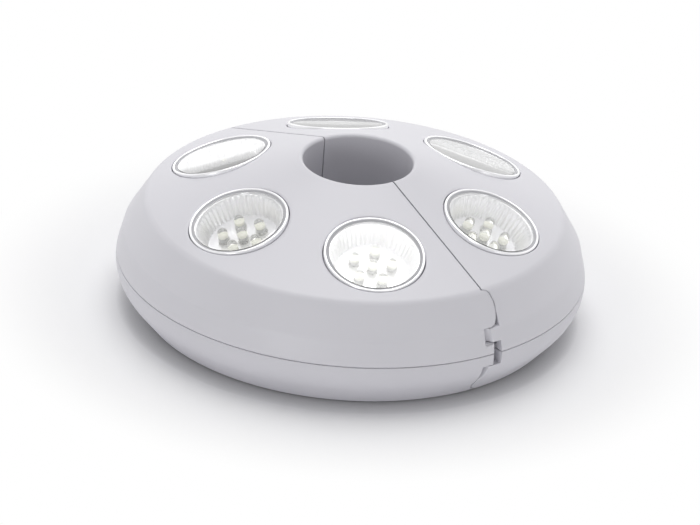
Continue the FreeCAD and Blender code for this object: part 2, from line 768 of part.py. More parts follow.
make_lamps()
for side, letter in ((-1, "a"), (1, "b")):
    housing = half_housing(side)
    make_cover(side, "lamp_cover_" + letter, housing)
    make_base(side, "base_shell_" + letter, housing)
    make_screws(side, "shell_screws_" + letter)
    make_grip_pad(side, "grip_pad_" + letter)
    make_cells(side, "battery_cells_" + letter)
    make_contacts(side, "battery_contacts_" + letter)
    make_door(side, "battery_door_" + letter)
make_pin()
make_spring()
make_button()
make_switch()
doc.recompute()

# ---- check and write ----

for thing in doc.Objects:
    if "Invalid" in thing.State or "Error" in thing.State:
        raise RuntimeError(f"{thing.Label} failed: {thing.State}")
os.makedirs("parts", exist_ok=True)
for node in nodes:
    shape = node.Shape
    if shape.isNull() or not shape.isValid():
        raise RuntimeError(f"{node.Label} has no valid shape")
    shape.exportStep(f"parts/{node.Label}.step")
    print(f"{node.Label}: {len(shape.Solids)} solids, {shape.Volume:.0f} mm3")
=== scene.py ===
import math

import bmesh
import bpy
import numpy as np
from mathutils import Matrix, Vector


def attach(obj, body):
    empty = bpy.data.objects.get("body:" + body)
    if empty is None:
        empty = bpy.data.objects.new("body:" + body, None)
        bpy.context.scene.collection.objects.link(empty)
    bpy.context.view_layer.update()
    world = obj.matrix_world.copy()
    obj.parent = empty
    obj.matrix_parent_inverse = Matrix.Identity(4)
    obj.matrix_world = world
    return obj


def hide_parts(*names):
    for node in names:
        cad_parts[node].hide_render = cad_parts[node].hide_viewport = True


# Round umbrella light: two hinged half discs with three lamps each, lamps up.
# Shapes are worked out in millimetres and written to the meshes in metres.
# +Z is up, the hinge is at -Y, half a lies at -X and half b at +X.

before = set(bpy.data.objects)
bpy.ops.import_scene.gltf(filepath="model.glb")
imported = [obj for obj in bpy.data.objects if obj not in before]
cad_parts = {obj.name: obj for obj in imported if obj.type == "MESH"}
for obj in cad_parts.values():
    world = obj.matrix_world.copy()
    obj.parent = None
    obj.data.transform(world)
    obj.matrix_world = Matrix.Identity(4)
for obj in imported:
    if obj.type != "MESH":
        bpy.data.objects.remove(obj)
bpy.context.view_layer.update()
print("frame loaded:", len(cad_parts), "nodes")

mm = 0.001


smoothDeg = 35.0  # edges that turn by more than this are drawn sharp
fineSmoothDeg = 50.0  # the same on small round pieces
softenDeg = 62.0  # the shells' edges that turn by more than this are rounded
mergeMm = 0.004  # points nearer than this become one
touchMetres = 1e-7


def linearColour(hexText, alpha=1.0):
    # sRGB hex to linear: c / 12.92 when dark, else ((c + 0.055) / 1.055)^2.4
    parts = [int(hexText[i:i + 2], 16) / 255 for i in (0, 2, 4)]
    return [c / 12.92 if c <= 0.04045 else ((c + 0.055) / 1.055) ** 2.4 for c in parts] + [alpha]


def addNode(tree, kind, settings=None, **links):
    # one node with its sockets set to values, or linked where the value is another node's output
    node = tree.nodes.new(kind)
    for name, value in (settings or {}).items():
        setattr(node, name, value)
    for name, value in links.items():
        socket = node.inputs[int(name[2:])] if name[:2] == "in" else node.inputs[name.replace("_", " ")]
        if isinstance(value, bpy.types.NodeSocket):
            tree.links.new(value, socket)
        else:
            socket.default_value = value
    return node


def gridFaces(rows, columns, start):
    # quads of a grid whose points are counted row by row
    corner = (np.arange(rows - 1)[:, None] * columns + np.arange(columns - 1)[None, :]).ravel() + start
    return np.stack([corner, corner + 1, corner + columns + 1, corner + columns], axis=1)


def buildPiece(name, patches, body, material, replaced=(), sharp=smoothDeg, flats=()):
    # joins grids of points, each (rows, columns, 3) in millimetres, into one mesh and merges what meets
    # flats are heights at which the open edges bound a level face, with its holes
    points = []
    faces = []
    start = 0
    for patch in patches:
        rows, columns = patch.shape[:2]
        points.append(patch.reshape(-1, 3))
        faces.append(gridFaces(rows, columns, start))
        start += rows * columns
    quads = np.concatenate(faces)
    mesh = bpy.data.meshes.new(name)
    mesh.from_pydata((np.concatenate(points) * mm).tolist(), [], quads.tolist())
    work = bmesh.new()
    work.from_mesh(mesh)
    bmesh.ops.remove_doubles(work, verts=work.verts, dist=mergeMm * mm)
    bmesh.ops.dissolve_degenerate(work, edges=work.edges, dist=touchMetres)
    for level in flats:
        rim = [e for e in work.edges
               if e.is_boundary and all(abs(v.co.z - level * mm) < touchMetres for v in e.verts)]
        bmesh.ops.triangle_fill(work, edges=rim, use_beauty=True, normal=(0, 0, 1))
    bmesh.ops.remove_doubles(work, verts=work.verts, dist=mergeMm * mm)
    bmesh.ops.recalc_face_normals(work, faces=work.faces)
    if work.calc_volume(signed=True) < 0:
        bmesh.ops.reverse_faces(work, faces=work.faces)
    work.to_mesh(mesh)
    work.free()
    piece = bpy.data.objects.new(name, mesh)
    bpy.context.scene.collection.objects.link(piece)
    finishPiece(piece, body, material, replaced, sharp)
    return piece


def finishPiece(piece, body, material, replaced=(), sharp=smoothDeg):
    # material and shading, then the body the piece rides on and the nodes it stands for
    mesh = piece.data
    mesh.materials.clear()
    mesh.materials.append(material)
    mesh.shade_smooth()
    mesh.set_sharp_from_angle(angle=math.radians(sharp))
    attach(piece, body)
    if replaced:
        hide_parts(*replaced)


def soften(piece, width, angle):
    # rounds the edges that turn by more than an angle
    bevel = piece.modifiers.new("edges", "BEVEL")
    bevel.width = width * mm
    bevel.segments = 2
    bevel.limit_method = "ANGLE"
    bevel.angle_limit = math.radians(angle)
    bevel.use_clamp_overlap = False
    bevel.harden_normals = True


def revolve(profile, columns):
    # points (radius, height) carried once round Z: (r cos a, r sin a, h)
    angle = np.linspace(0, 2 * math.pi, columns + 1)
    radius = profile[:, 0][:, None]
    return np.stack([radius * np.cos(angle), radius * np.sin(angle),
                     np.repeat(profile[:, 1][:, None], columns + 1, axis=1)], axis=-1)


def arc(centre, radius, startDeg, endDeg, count):
    # points of an arc: centre + radius (cos a, sin a)
    angle = np.radians(np.linspace(startDeg, endDeg, count))
    return np.stack([centre[0] + radius * np.cos(angle), centre[1] + radius * np.sin(angle)], axis=1)


def carve(piece, cutters):
    # cuts closed shapes out of a closed shell, each given as a list of grids in millimetres
    finish = piece.data.materials[0]
    piece.modifiers.clear()
    for number, patches in enumerate(cutters):
        tool = buildPiece(f"{piece.name}Cutter{number}", patches, "half_a", plainMaterial)
        cut = piece.modifiers.new("cut", "BOOLEAN")
        cut.operation = "DIFFERENCE"
        cut.solver = "EXACT"
        cut.object = tool
        evaluated = piece.evaluated_get(bpy.context.evaluated_depsgraph_get())
        mesh = bpy.data.meshes.new_from_object(evaluated)
        piece.modifiers.clear()
        piece.data = mesh
        bpy.data.objects.remove(tool)
    mesh = piece.data
    mesh.materials.clear()
    mesh.materials.append(finish)
    mesh.polygons.foreach_set("material_index", np.zeros(len(mesh.polygons), dtype=np.int32))
    mesh.shade_smooth()
    mesh.set_sharp_from_angle(angle=math.radians(smoothDeg))


# materials, each from one function for its kind of finish


def newMaterial(name):
    # an empty node tree with its output
    material = bpy.data.materials.new(name)
    material.use_nodes = True
    tree = material.node_tree
    tree.nodes.clear()
    output = addNode(tree, "ShaderNodeOutputMaterial")
    return material, tree, output


def mouldedPlastic(name, colour, deeper, roughness, grainMm, grainDepth):
    # moulded ABS, satin: an even silver grey with a faint tone drift and a fine spark-eroded grain
    material, tree, output = newMaterial(name)
    place = addNode(tree, "ShaderNodeTexCoord").outputs["Object"]
    drift = addNode(tree, "ShaderNodeTexNoise", Vector=place, Scale=18.0, Detail=2.0, Roughness=0.5)
    ramp = addNode(tree, "ShaderNodeValToRGB", Fac=drift.outputs["Fac"])
    ramp.color_ramp.elements[0].position = 0.35
    ramp.color_ramp.elements[0].color = linearColour(deeper)
    ramp.color_ramp.elements[1].position = 0.65
    ramp.color_ramp.elements[1].color = linearColour(colour)
    grain = addNode(tree, "ShaderNodeTexNoise", Vector=place, Scale=1.0 / (grainMm * mm), Detail=1.0)
    bump = addNode(tree, "ShaderNodeBump", Height=grain.outputs["Fac"], Strength=grainDepth, Distance=0.00002)
    sheen = addNode(tree, "ShaderNodeMapRange", Value=drift.outputs["Fac"], To_Min=roughness - 0.03,
                    To_Max=roughness + 0.03)
    shader = addNode(tree, "ShaderNodeBsdfPrincipled", Base_Color=ramp.outputs["Color"],
                     Roughness=sheen.outputs["Result"], Normal=bump.outputs["Normal"], IOR=1.53)
    tree.links.new(shader.outputs["BSDF"], output.inputs["Surface"])
    return material


def metallised(name, colour, roughness, waveMm, metal):
    # vacuum metallised white plastic: bright, with the slight ripple of a moulded part under the thin film
    material, tree, output = newMaterial(name)
    place = addNode(tree, "ShaderNodeTexCoord").outputs["Object"]
    ripple = addNode(tree, "ShaderNodeTexNoise", Vector=place, Scale=1.0 / (waveMm * mm), Detail=1.0)
    bump = addNode(tree, "ShaderNodeBump", Height=ripple.outputs["Fac"], Strength=0.25, Distance=0.00003)
    blur = addNode(tree, "ShaderNodeMapRange", Value=ripple.outputs["Fac"], To_Min=roughness * 0.8,
                   To_Max=roughness * 1.2)
    shader = addNode(tree, "ShaderNodeBsdfPrincipled", Base_Color=linearColour(colour), Metallic=metal,
                     Roughness=blur.outputs["Result"], Normal=bump.outputs["Normal"])
    tree.links.new(shader.outputs["BSDF"], output.inputs["Surface"])
    return material


def clearPlastic(name, colour, roughness, ior, weight, haze=0.0, coat=0.0):
    # clear moulded plastic: lets light through, and at a flat angle mirrors the room in a faint white haze
    material, tree, output = newMaterial(name)
    place = addNode(tree, "ShaderNodeTexCoord").outputs["Object"]
    flow = addNode(tree, "ShaderNodeTexNoise", Vector=place, Scale=250.0, Detail=1.0)
    blur = addNode(tree, "ShaderNodeMapRange", Value=flow.outputs["Fac"], To_Min=roughness * 0.6,
                   To_Max=roughness * 1.4)
    shader = addNode(tree, "ShaderNodeBsdfPrincipled", Base_Color=linearColour(colour),
                     Roughness=blur.outputs["Result"], IOR=ior, Transmission_Weight=weight, Sheen_Weight=haze,
                     Sheen_Roughness=0.3, Coat_Weight=coat, Coat_Roughness=0.02)
    path = addNode(tree, "ShaderNodeLightPath")
    lit = addNode(tree, "ShaderNodeMath", {"operation": "MAXIMUM"}, in0=path.outputs["Is Shadow Ray"],
                  in1=path.outputs["Is Diffuse Ray"])
    through = addNode(tree, "ShaderNodeBsdfTransparent", Color=linearColour(colour))
    mixed = addNode(tree, "ShaderNodeMixShader", in0=lit.outputs[0], in1=shader.outputs["BSDF"],
                    in2=through.outputs[0])
    tree.links.new(mixed.outputs[0], output.inputs["Surface"])
    return material


def plainFinish(name, colour, roughness, grainMm, grainDepth=0.3, metallic=0.0):
    # one colour with a small grain in its gloss and its surface
    material, tree, output = newMaterial(name)
    place = addNode(tree, "ShaderNodeTexCoord").outputs["Object"]
    grain = addNode(tree, "ShaderNodeTexNoise", Vector=place, Scale=1.0 / (grainMm * mm), Detail=2.0)
    blur = addNode(tree, "ShaderNodeMapRange", Value=grain.outputs["Fac"], To_Min=roughness - 0.06,
                   To_Max=roughness + 0.06)
    tint = addNode(tree, "ShaderNodeMix", {"data_type": "RGBA"}, Factor=grain.outputs["Fac"],
                   in6=linearColour(colour), in7=[c * 0.86 for c in linearColour(colour)[:3]] + [1.0])
    bump = addNode(tree, "ShaderNodeBump", Height=grain.outputs["Fac"], Strength=grainDepth, Distance=0.00003)
    shader = addNode(tree, "ShaderNodeBsdfPrincipled", Base_Color=tint.outputs[2], Metallic=metallic,
                     Roughness=blur.outputs["Result"], Normal=bump.outputs["Normal"])
    tree.links.new(shader.outputs["BSDF"], output.inputs["Surface"])
    return material


plainMaterial = bpy.data.materials.new("plainTool")
coverAbs = mouldedPlastic("mouldedAbsCover", "D9D8DE", "D7D6DC", 0.42, 0.35, 0.25)
baseAbs = mouldedPlastic("mouldedAbsBase", "D6D5DB", "D4D3D9", 0.44, 0.35, 0.25)
chromedBowl = metallised("metallisedReflector", "FBFBFD", 0.16, 4.0, 0.5)
clearLens = clearPlastic("clearAcrylicLens", "FDFDFD", 0.02, 1.49, 1.0, 1.0, 0.7)
ledEpoxy = clearPlastic("ledEpoxy", "FBFBF6", 0.04, 1.5, 0.96)
ledPhosphor = plainFinish("ledPhosphor", "FFFFF6", 0.5, 0.2)  # pale powder cap seen through the clear light
ledLeads = plainFinish("tinnedLeads", "B4B5B8", 0.4, 0.4)  # dull grey cup and leads under the cap
boardMask = plainFinish("whiteSolderMask", "DDE2DD", 0.45, 0.8)  # white board, faintly green and satin
zincSteel = plainFinish("zincPlatedSteel", "C2C3C6", 0.32, 0.5, 0.3, 1.0)  # bright grey screw and pin steel
springWire = plainFinish("drawnSpringWire", "9C9DA1", 0.35, 0.3, 0.3, 1.0)  # darker drawn wire
gripRubber = plainFinish("mouldedRubber", "2B2B2D", 0.72, 0.4)  # near black and matt
gasketRubber = plainFinish("mouldedGasket", "BEBEC2", 0.45, 0.4)  # soft light grey line round each lens
buttonRubber = plainFinish("mouldedSilicone", "55565A", 0.6, 0.3)  # dark grey with a soft sheen
cellJacket = plainFinish("cellJacketFilm", "3C4046", 0.28, 1.5)  # dark glossy film
cellSteel = plainFinish("nickelPlatedCap", "CFCDC8", 0.25, 0.5, 0.2, 1.0)  # bright warm steel ends
contactStrip = plainFinish("nickelPlatedStrip", "C9C6BD", 0.3, 0.5, 0.3, 1.0)  # bright, slightly yellow strip
switchBody = plainFinish("mouldedNylon", "1D1D20", 0.5, 0.4)  # black nylon, satin
print("materials made")


# the body's section: corners (radius, height, rounding) from the bore's lip to the base

bodyShape = {
    "corners": [(27.0, 82.3, 1.6), (102.6, 55.0, 6.0), (112.4, 38.0, 6.0), (116.9, 18.5, 19.5),
                (100.8, 0.0, 4.5)],
    "partingHeight": 25.7,
    "partingGap": 0.3,
    "edgeRound": 0.35,
    "seamGap": 0.7,
    "seamRound": 0.22,
    "columns": 144,
    "lampRing": 72.0,
    "holeRadius": 25.35,
    "holeRound": 1.2,
    "holeRoundDeep": 0.35,
    "socketDepth": 13.9,
}
boreRadius, topHeight = bodyShape["corners"][0][:2]
ridge = bodyShape["corners"][1]
lampTilt = math.atan2(topHeight - ridge[1], ridge[0] - boreRadius)
lampHeight = topHeight - (bodyShape["lampRing"] - boreRadius) * math.tan(lampTilt)
seam = bodyShape["seamGap"] / 2
partTop = bodyShape["partingHeight"] + bodyShape["partingGap"] / 2
partLow = bodyShape["partingHeight"] - bodyShape["partingGap"] / 2


def cornerArc(before, corner, after, radius, count):
    # an arc that touches both lines of a corner: centre c, then c + radius (cos a, sin a)
    here = np.array(corner, float)
    back = np.array(before, float) - here
    on = np.array(after, float) - here
    back /= np.linalg.norm(back)
    on /= np.linalg.norm(on)
    half = math.acos(np.clip(back @ on, -1, 1)) / 2
    centre = here + (back + on) / np.linalg.norm(back + on) * radius / math.sin(half)
    first = here + back * radius / math.tan(half) - centre
    last = here + on * radius / math.tan(half) - centre
    start = math.atan2(first[1], first[0])
    turn = math.atan2(first[0] * last[1] - first[1] * last[0], first @ last)
    angle = start + turn * np.linspace(0, 1, count)
    return centre + radius * np.stack([np.cos(angle), np.sin(angle)], axis=1)


def sectionArcs():
    # the five rounded corners of the section, each with its own number of points
    corners = bodyShape["corners"]
    around = [(boreRadius, 0.0)] + [c[:2] for c in corners] + [(boreRadius, 0.0)]
    counts = (12, 15, 7, 19, 13)
    return [cornerArc(around[i], around[i + 1], around[i + 2], corners[i][2], counts[i]) for i in range(5)]


lipArc, ridgeArc, shoulderArc, waistArc, baseArc = sectionArcs()
lipTop = int(np.argmax(lipArc[:, 1]))
outerLine = np.concatenate([lipArc[lipTop:], ridgeArc, shoulderArc, waistArc, baseArc])
innerLine = np.concatenate([[(boreRadius, 0.0)], lipArc[:lipTop + 1]])


def outerRadius(height):
    # radius of the outer surface at a height
    return np.interp(-np.asarray(height, float), -outerLine[:, 1], outerLine[:, 0])


def innerRadius(height):
    # radius of the bore's surface at a height
    return np.interp(np.asarray(height, float), innerLine[:, 1], innerLine[:, 0])


# the hinge: round barrels that turn in round-ended slots

hinge = {
    "pinRadius": 107.0,  # distance of the pin from the middle
    "barrel": 4.8,
    "slot": 5.1,
    "rimDepth": 8.4,
    "levels": (38.7, 31.4, 19.5),
    "levelGap": 0.2,
    "slotRim": {"a": ((31.4, 4.2), (19.5, 5.6)), "b": ((38.7, 4.9), (31.4, 5.3))},  # half widths at the rim
    # webs of the knuckles as (distance out from the pin, reach past the seam)
    "tongue": ((4.59, 0.9), (6.9, 0.9), (8.4, 0.3), (30.0, 0.3)),
    "tab": ((4.59, 1.4), (6.9, -0.2), (30.0, -0.2)),
    "lobe": ((2.13, 4.3), (8.4, 1.8), (30.0, 1.8)),
    "barrelOnly": ((4.796, -0.2), (30.0, -0.2)),
    "straightPoints": 6,
    "roundPoints": 14,
    "tabColumns": 6,
    "falloffDeg": 20.0,
}


def slotEdge(letter, out, height):
    # how far a slot's wall stands from the seam plane, at a distance out from the pin
    knots = hinge["slotRim"][letter]
    rim = np.interp(-height, [-knots[0][0], -knots[1][0]], [knots[0][1], knots[1][1]])
    straight = hinge["slot"] + (rim - hinge["slot"]) * out / hinge["rimDepth"]
    rounded = np.sqrt(np.maximum(hinge["slot"] ** 2 - out ** 2, seam ** 2))
    return np.where(out > 0, straight, np.where(out > -hinge["slot"], np.maximum(rounded, seam), seam))


def tabEdge(edge, out):
    # where a knuckle ends past the seam plane: its barrel, and further out the edge of its web
    outs, reaches = np.array(edge).T
    rounded = -np.sqrt(np.maximum(hinge["barrel"] ** 2 - out ** 2, 0.0))
    rounded = np.where(out > -hinge["barrel"], rounded, seam)
    return np.where(out >= outs[0], -np.interp(out, outs, reaches), np.minimum(rounded, seam))


def slotCurve(letter, out, height):
    # plan of a slot's wall for one row: in from the rim, round the pin and to the seam plane
    radius = hinge["slot"]
    straight = np.linspace(max(out, 0.0), 0.0, hinge["straightPoints"])
    wall = np.stack([slotEdge(letter, straight, height), straight], axis=1)
    end = math.pi - math.asin(seam / radius)  # angle from straight out of the pin, towards the own half
    start = math.pi / 2 if out >= 0 else math.acos(np.clip(out / radius, -1, 1))
    angle = np.linspace(min(start, end), end, hinge["roundPoints"])
    back = np.stack([radius * np.sin(angle), radius * np.cos(angle)], axis=1)
    if out < 0:
        wall[:] = back[0]
    if out < -radius * math.cos(math.asin(seam / radius)):
        wall[:] = back[:] = (seam, out)
    return np.concatenate([wall, back])


def tabCurve(edge, out):
    # plan of a knuckle's wall for one row: in from the rim, round its barrel and to the seam plane
    radius = hinge["barrel"]
    first = edge[0][0]
    straight = np.linspace(max(out, first), first, hinge["straightPoints"])
    wall = np.stack([tabEdge(edge, straight), straight], axis=1)
    begin = math.atan2(-edge[0][1], first)
    end = -(math.pi + math.asin(seam / radius))
    if out < first:
        begin = -math.acos(np.clip(out / radius, -1, 1))
    angle = np.linspace(begin, end, hinge["roundPoints"] - 1)
    back = np.stack([radius * np.sin(angle), radius * np.cos(angle)], axis=1)
    if out < first:
        wall[:] = back[0]
    last = np.array([[seam, -hinge["slot"] * math.cos(math.asin(seam / hinge["slot"]))]])
    if out < -radius * math.cos(math.asin(seam / radius)):
        wall[:] = back[:] = last[:] = (seam, out)
    elif out < last[0, 1]:
        last[:] = (seam, out)
    return np.concatenate([wall, back, last])


def hingeZones(letter):
    # (top, bottom, knuckle edge or None where there is a slot), from the top down
    high, middle, low = hinge["levels"]
    gap = hinge["levelGap"]
    if letter == "a":
        cuts = (high + gap, middle - gap, low + gap)
        kinds = (hinge["barrelOnly"], None, hinge["tongue"], None)
    else:
        cuts = (high - gap, middle + gap, low - gap)
        kinds = (None, hinge["tab"], None, hinge["lobe"])
    edges = (topHeight,) + cuts + (-1.0,)
    return [(edges[i], edges[i + 1], kinds[i]) for i in range(4)]


# one half of the body as grids


def wallRow(letter, edge, radius, height):
    # plan of the hinge side's wall: a slot where the zone has no knuckle
    out = radius - hinge["pinRadius"]
    if edge is None:
        return slotCurve(letter, out, height)
    return tabCurve(edge, out)


def drawnAside(atHinge, atMouth):
    # the half's own columns in degrees, moved near both ends: a + h (1 - x / f)^2 - m (1 - y / f)^2
    base = np.linspace(-90.0, 90.0, bodyShape["columns"] + 1)
    fall = np.clip(1 - (base + 90.0) / hinge["falloffDeg"], 0, 1) ** 2
    rise = np.clip(1 - (90.0 - base) / hinge["falloffDeg"], 0, 1) ** 2
    return base + atHinge * fall - atMouth * rise


def rimColumns(letter, edge, radius, height):
    # angles of one row: a few over the knuckle, then the half's own columns
    out = radius - hinge["pinRadius"]
    own = float(slotEdge(letter, np.array(out), height))
    reach = own if edge is None else min(own, float(tabEdge(edge, np.array(out))))
    shift = math.degrees(math.asin(own / radius))
    mouth = math.degrees(math.asin(seam / radius))
    angle = drawnAside(shift, mouth)
    first = -90.0 + math.degrees(math.asin(reach / radius))
    extra = np.linspace(first, angle[0], hinge["tabColumns"] + 1)[:-1]
    return np.radians(np.concatenate([extra, angle]))


def rimPoints(letter, edge, radius, height):
    # one row of the outer surface: (r cos a, r sin a, h)
    angle = rimColumns(letter, edge, radius, height)
    return np.stack([radius * np.cos(angle), radius * np.sin(angle), np.full(len(angle), height)], axis=1)


def wallPoints(letter, edge, radius, height, inner):
    # the hinge side's wall for one row, from the rim in to the bore
    plan = wallRow(letter, edge, radius, height)
    points = np.stack([plan[:, 0], -hinge["pinRadius"] - plan[:, 1], np.full(len(plan), height)], axis=1)
    points[0] = rimPoints(letter, edge, radius, height)[0]
    end = np.array([[seam, -math.sqrt(inner ** 2 - seam ** 2), height]])
    return np.concatenate([points, end])


def mouthPoints(radius, height, inner):
    # the two ends of the mouth's flat face in one row
    far = math.sqrt(radius ** 2 - seam ** 2)
    near = math.sqrt(inner ** 2 - seam ** 2)
    return np.array([[seam, near, height], [seam, far, height]])


def ledge(letter, edge, radius, height):
    # the flat step between a knuckle and the slot beside it
    slotLine = slotCurve(letter, radius - hinge["pinRadius"], height)
    tabLine = tabCurve(edge, radius - hinge["pinRadius"])
    share = np.linspace(0, 1, hinge["tabColumns"] + 1)[:, None, None]
    plan = slotLine[None] * (1 - share) + tabLine[None] * share
    rim = rimPoints(letter, edge, radius, height)[:hinge["tabColumns"] + 1][::-1]
    grid = np.concatenate([plan, np.zeros(plan.shape[:2] + (1,))], axis=2)
    grid[..., 1] = -hinge["pinRadius"] - plan[..., 1]
    grid[..., 2] = height
    grid[:, 0, :] = rim
    return grid


def sideRows(rows):
    # rows as (radius, height, radius at the bore) for the outer wall and both seam faces
    return [(float(r), round(float(z), 6) + 0.0, float(innerRadius(z))) for r, z in rows]


def outerPatches(letter, rows):
    # rows run from the top down; each zone of the hinge is its own grid, with a ledge between zones
    patches = []
    for top, bottom, edge in hingeZones(letter):
        inside = [row for row in rows if bottom < row[1] < top]
        for height in (top, bottom):
            if rows[-1][1] < height < rows[0][1]:
                inside.append((float(outerRadius(height)), height, float(innerRadius(height))))
        inside.sort(key=lambda row: -row[1])
        if len(inside) < 2:
            continue
        patches.append(np.stack([rimPoints(letter, edge, r, z) for r, z, _ in inside]))
        patches.append(np.stack([wallPoints(letter, edge, r, z, i) for r, z, i in inside])[:, ::-1])
        patches.append(np.stack([mouthPoints(r, z, i) for r, z, i in inside])[:, ::-1])
    zones = hingeZones(letter)
    for upper, lower in zip(zones, zones[1:]):
        height = upper[1]
        if rows[-1][1] < height < rows[0][1]:
            radius = float(outerRadius(height))
            patches.append(ledge(letter, upper[2] or lower[2], radius, height))
    return patches


def coneHeight(radius):
    # z = top - (r - bore) tan(tilt)
    return topHeight - (radius - boreRadius) * math.tan(lampTilt)


def conePoint(radius, angle):
    # a point of the cover's cone: (r cos a, r sin a, z)
    return np.stack([radius * np.cos(angle), radius * np.sin(angle), coneHeight(radius)], axis=-1)


def lampHoleEdge(turn, radius):
    # where a tube square to the cone's face meets the cone, by Newton steps on the height along the tube
    down = np.array([math.cos(lampTilt), 0.0, -math.sin(lampTilt)])
    normal = np.array([math.sin(lampTilt), 0.0, math.cos(lampTilt)])
    across = np.array([0.0, 1.0, 0.0])
    centre = np.array([bodyShape["lampRing"], 0.0, lampHeight])
    flat = centre + radius * (np.cos(turn)[:, None] * down + np.sin(turn)[:, None] * across)
    lift = np.zeros(len(turn))
    for _ in range(8):
        point = flat + lift[:, None] * normal
        around = np.hypot(point[:, 0], point[:, 1])
        error = point[:, 2] - coneHeight(around)
        lift -= error / (normal[2] + math.tan(lampTilt) * point[:, 0] * normal[0] / around)
    return flat + lift[:, None] * normal, normal


def lampSector(middleDeg):
    # the cone between two meridians, as a grid from the lamp's hole out to the sector's edge
    inner = float(lipArc[-1, 0])
    outer = float(ridgeArc[0, 0])
    steps = bodyShape["columns"] // 3
    sides = steps // 2
    halfSector = 30.0  # degrees from the lamp's middle to the sector's edge

    def seamAngle(radius, angle):
        # the sector's edge on the seam is a straight line beside it
        limit = 90.0 - np.degrees(np.arcsin(seam / radius))
        total = np.clip(angle + middleDeg, -limit, limit)
        return total - middleDeg

    def columnAngles(radius):
        # the half's own columns over this sector, so that it meets the ridge point by point
        mouth = math.degrees(math.asin(seam / radius))
        first = int(round((middleDeg - halfSector + 90.0) / 180.0 * bodyShape["columns"]))
        return drawnAside(mouth, mouth)[first:first + steps + 1] - middleDeg

    radial = np.linspace(inner, outer, sides + 1)
    radius = np.concatenate([np.full(steps, outer), radial[::-1][:-1], np.full(steps, inner), radial[:-1]])
    angle = np.concatenate([columnAngles(outer)[:-1], np.full(sides, halfSector),
                            columnAngles(inner)[::-1][:-1], np.full(sides, -halfSector)])
    angle = seamAngle(radius, angle)
    border = conePoint(radius, np.radians(angle))
    across = border[:, 1]
    down = (border[:, 0] - bodyShape["lampRing"]) / math.cos(lampTilt)
    turn = np.arctan2(across, down)
    edge, normal = lampHoleEdge(turn, bodyShape["holeRadius"] + bodyShape["holeRound"])
    edgeRadius = np.hypot(edge[:, 0], edge[:, 1])
    edgeAngle = np.arctan2(edge[:, 1], edge[:, 0])
    share = np.linspace(0, 1, 13)[:, None]
    grid = conePoint(edgeRadius * (1 - share) + radius * share,
                     edgeAngle * (1 - share) + np.radians(angle) * share)
    # the hole's edge turns down into the socket in a quarter of an ellipse
    wide, deepness = bodyShape["holeRound"], bodyShape["holeRoundDeep"]
    centre = np.array([bodyShape["lampRing"], 0.0, lampHeight])
    axisPart = ((edge - centre) @ normal)[:, None] * normal
    outwards = edge - centre - axisPart
    outwards /= np.linalg.norm(outwards, axis=1)[:, None]
    wallTop = edge - outwards * wide - normal * deepness
    rim = [wallTop]
    for bend in np.radians([45.0, 67.5, 90.0]):
        rim.append(wallTop + outwards * wide * (1 - math.cos(bend)) + normal * deepness * math.sin(bend))
    deep = wallTop - normal * (((wallTop - centre) @ normal)[:, None] + bodyShape["socketDepth"])
    floor = np.repeat(deep.mean(axis=0)[None], len(deep), axis=0)
    grid = np.concatenate([np.stack([floor, deep, *rim]), grid])
    grid = np.concatenate([grid, grid[:, :1]], axis=1)
    turned = math.radians(middleDeg)
    spin = np.array([[math.cos(turned), -math.sin(turned), 0],
                     [math.sin(turned), math.cos(turned), 0], [0, 0, 1]])
    return grid @ spin.T


def lipPatch(low):
    # the rounded lip and the bore's wall, row by row down to the given height
    rows = np.concatenate([lipArc[::-1], [(boreRadius, low)]])
    grid = []
    for radius, height in rows:
        mouth = math.degrees(math.asin(seam / radius))
        angle = np.radians(drawnAside(mouth, mouth))
        level = np.full(len(angle), height)
        grid.append(np.stack([radius * np.cos(angle), radius * np.sin(angle), level], axis=1))
    return np.stack(grid)


def edgeRows(height, way):
    # rows that round an edge inwards at the parting line: way is 1 above it and -1 below it
    e = bodyShape["edgeRound"]
    radius = float(outerRadius(height + way * e))
    bend = np.radians([30.0, 60.0, 90.0])
    return [(radius - e * (1 - math.cos(a)), height + way * e * (1 - math.sin(a)), boreRadius) for a in bend]


def onSide(patches, side):
    # half a is half b mirrored in the seam plane, apart from its hinge
    if side < 0:
        return [patch * np.array([-1.0, 1.0, 1.0]) for patch in patches]
    return patches


def coverPatches(letter):
    coneHeights = conePoint(np.linspace(ridgeArc[0, 0], lipArc[-1, 0], 25), np.zeros(25))[:, 2]
    slope = np.arange(50, 39, -1.0)
    lines = np.concatenate([ridgeArc, np.stack([outerRadius(slope), slope], axis=1), shoulderArc, waistArc])
    rows = sideRows([p for p in lines if p[1] > partTop + bodyShape["edgeRound"]])
    heights = np.concatenate([np.arange(37, 27, -1.5), [partTop + bodyShape["edgeRound"]]])
    rows += sideRows(zip(outerRadius(heights), heights))
    rows = sorted(set(rows), key=lambda row: -row[1]) + edgeRows(partTop, 1)
    patches = outerPatches(letter, rows)
    for middle in (-60.0, 0.0, 60.0):
        patches.append(lampSector(middle))
    patches.append(lipPatch(partTop))
    # seam faces under the cone and the lip
    levels = sorted(set(np.round(np.concatenate([coneHeights, lipArc[lipTop:, 1]]), 6)), reverse=True)
    upper = [(float(outerRadius(z)), float(z), float(innerRadius(z))) for z in levels]
    patches.append(np.stack([wallPoints(letter, None, r, z, i)[[0, -1]] for r, z, i in upper])[:, ::-1])
    patches.append(np.stack([mouthPoints(r, z, i) for r, z, i in upper])[:, ::-1])
    return patches


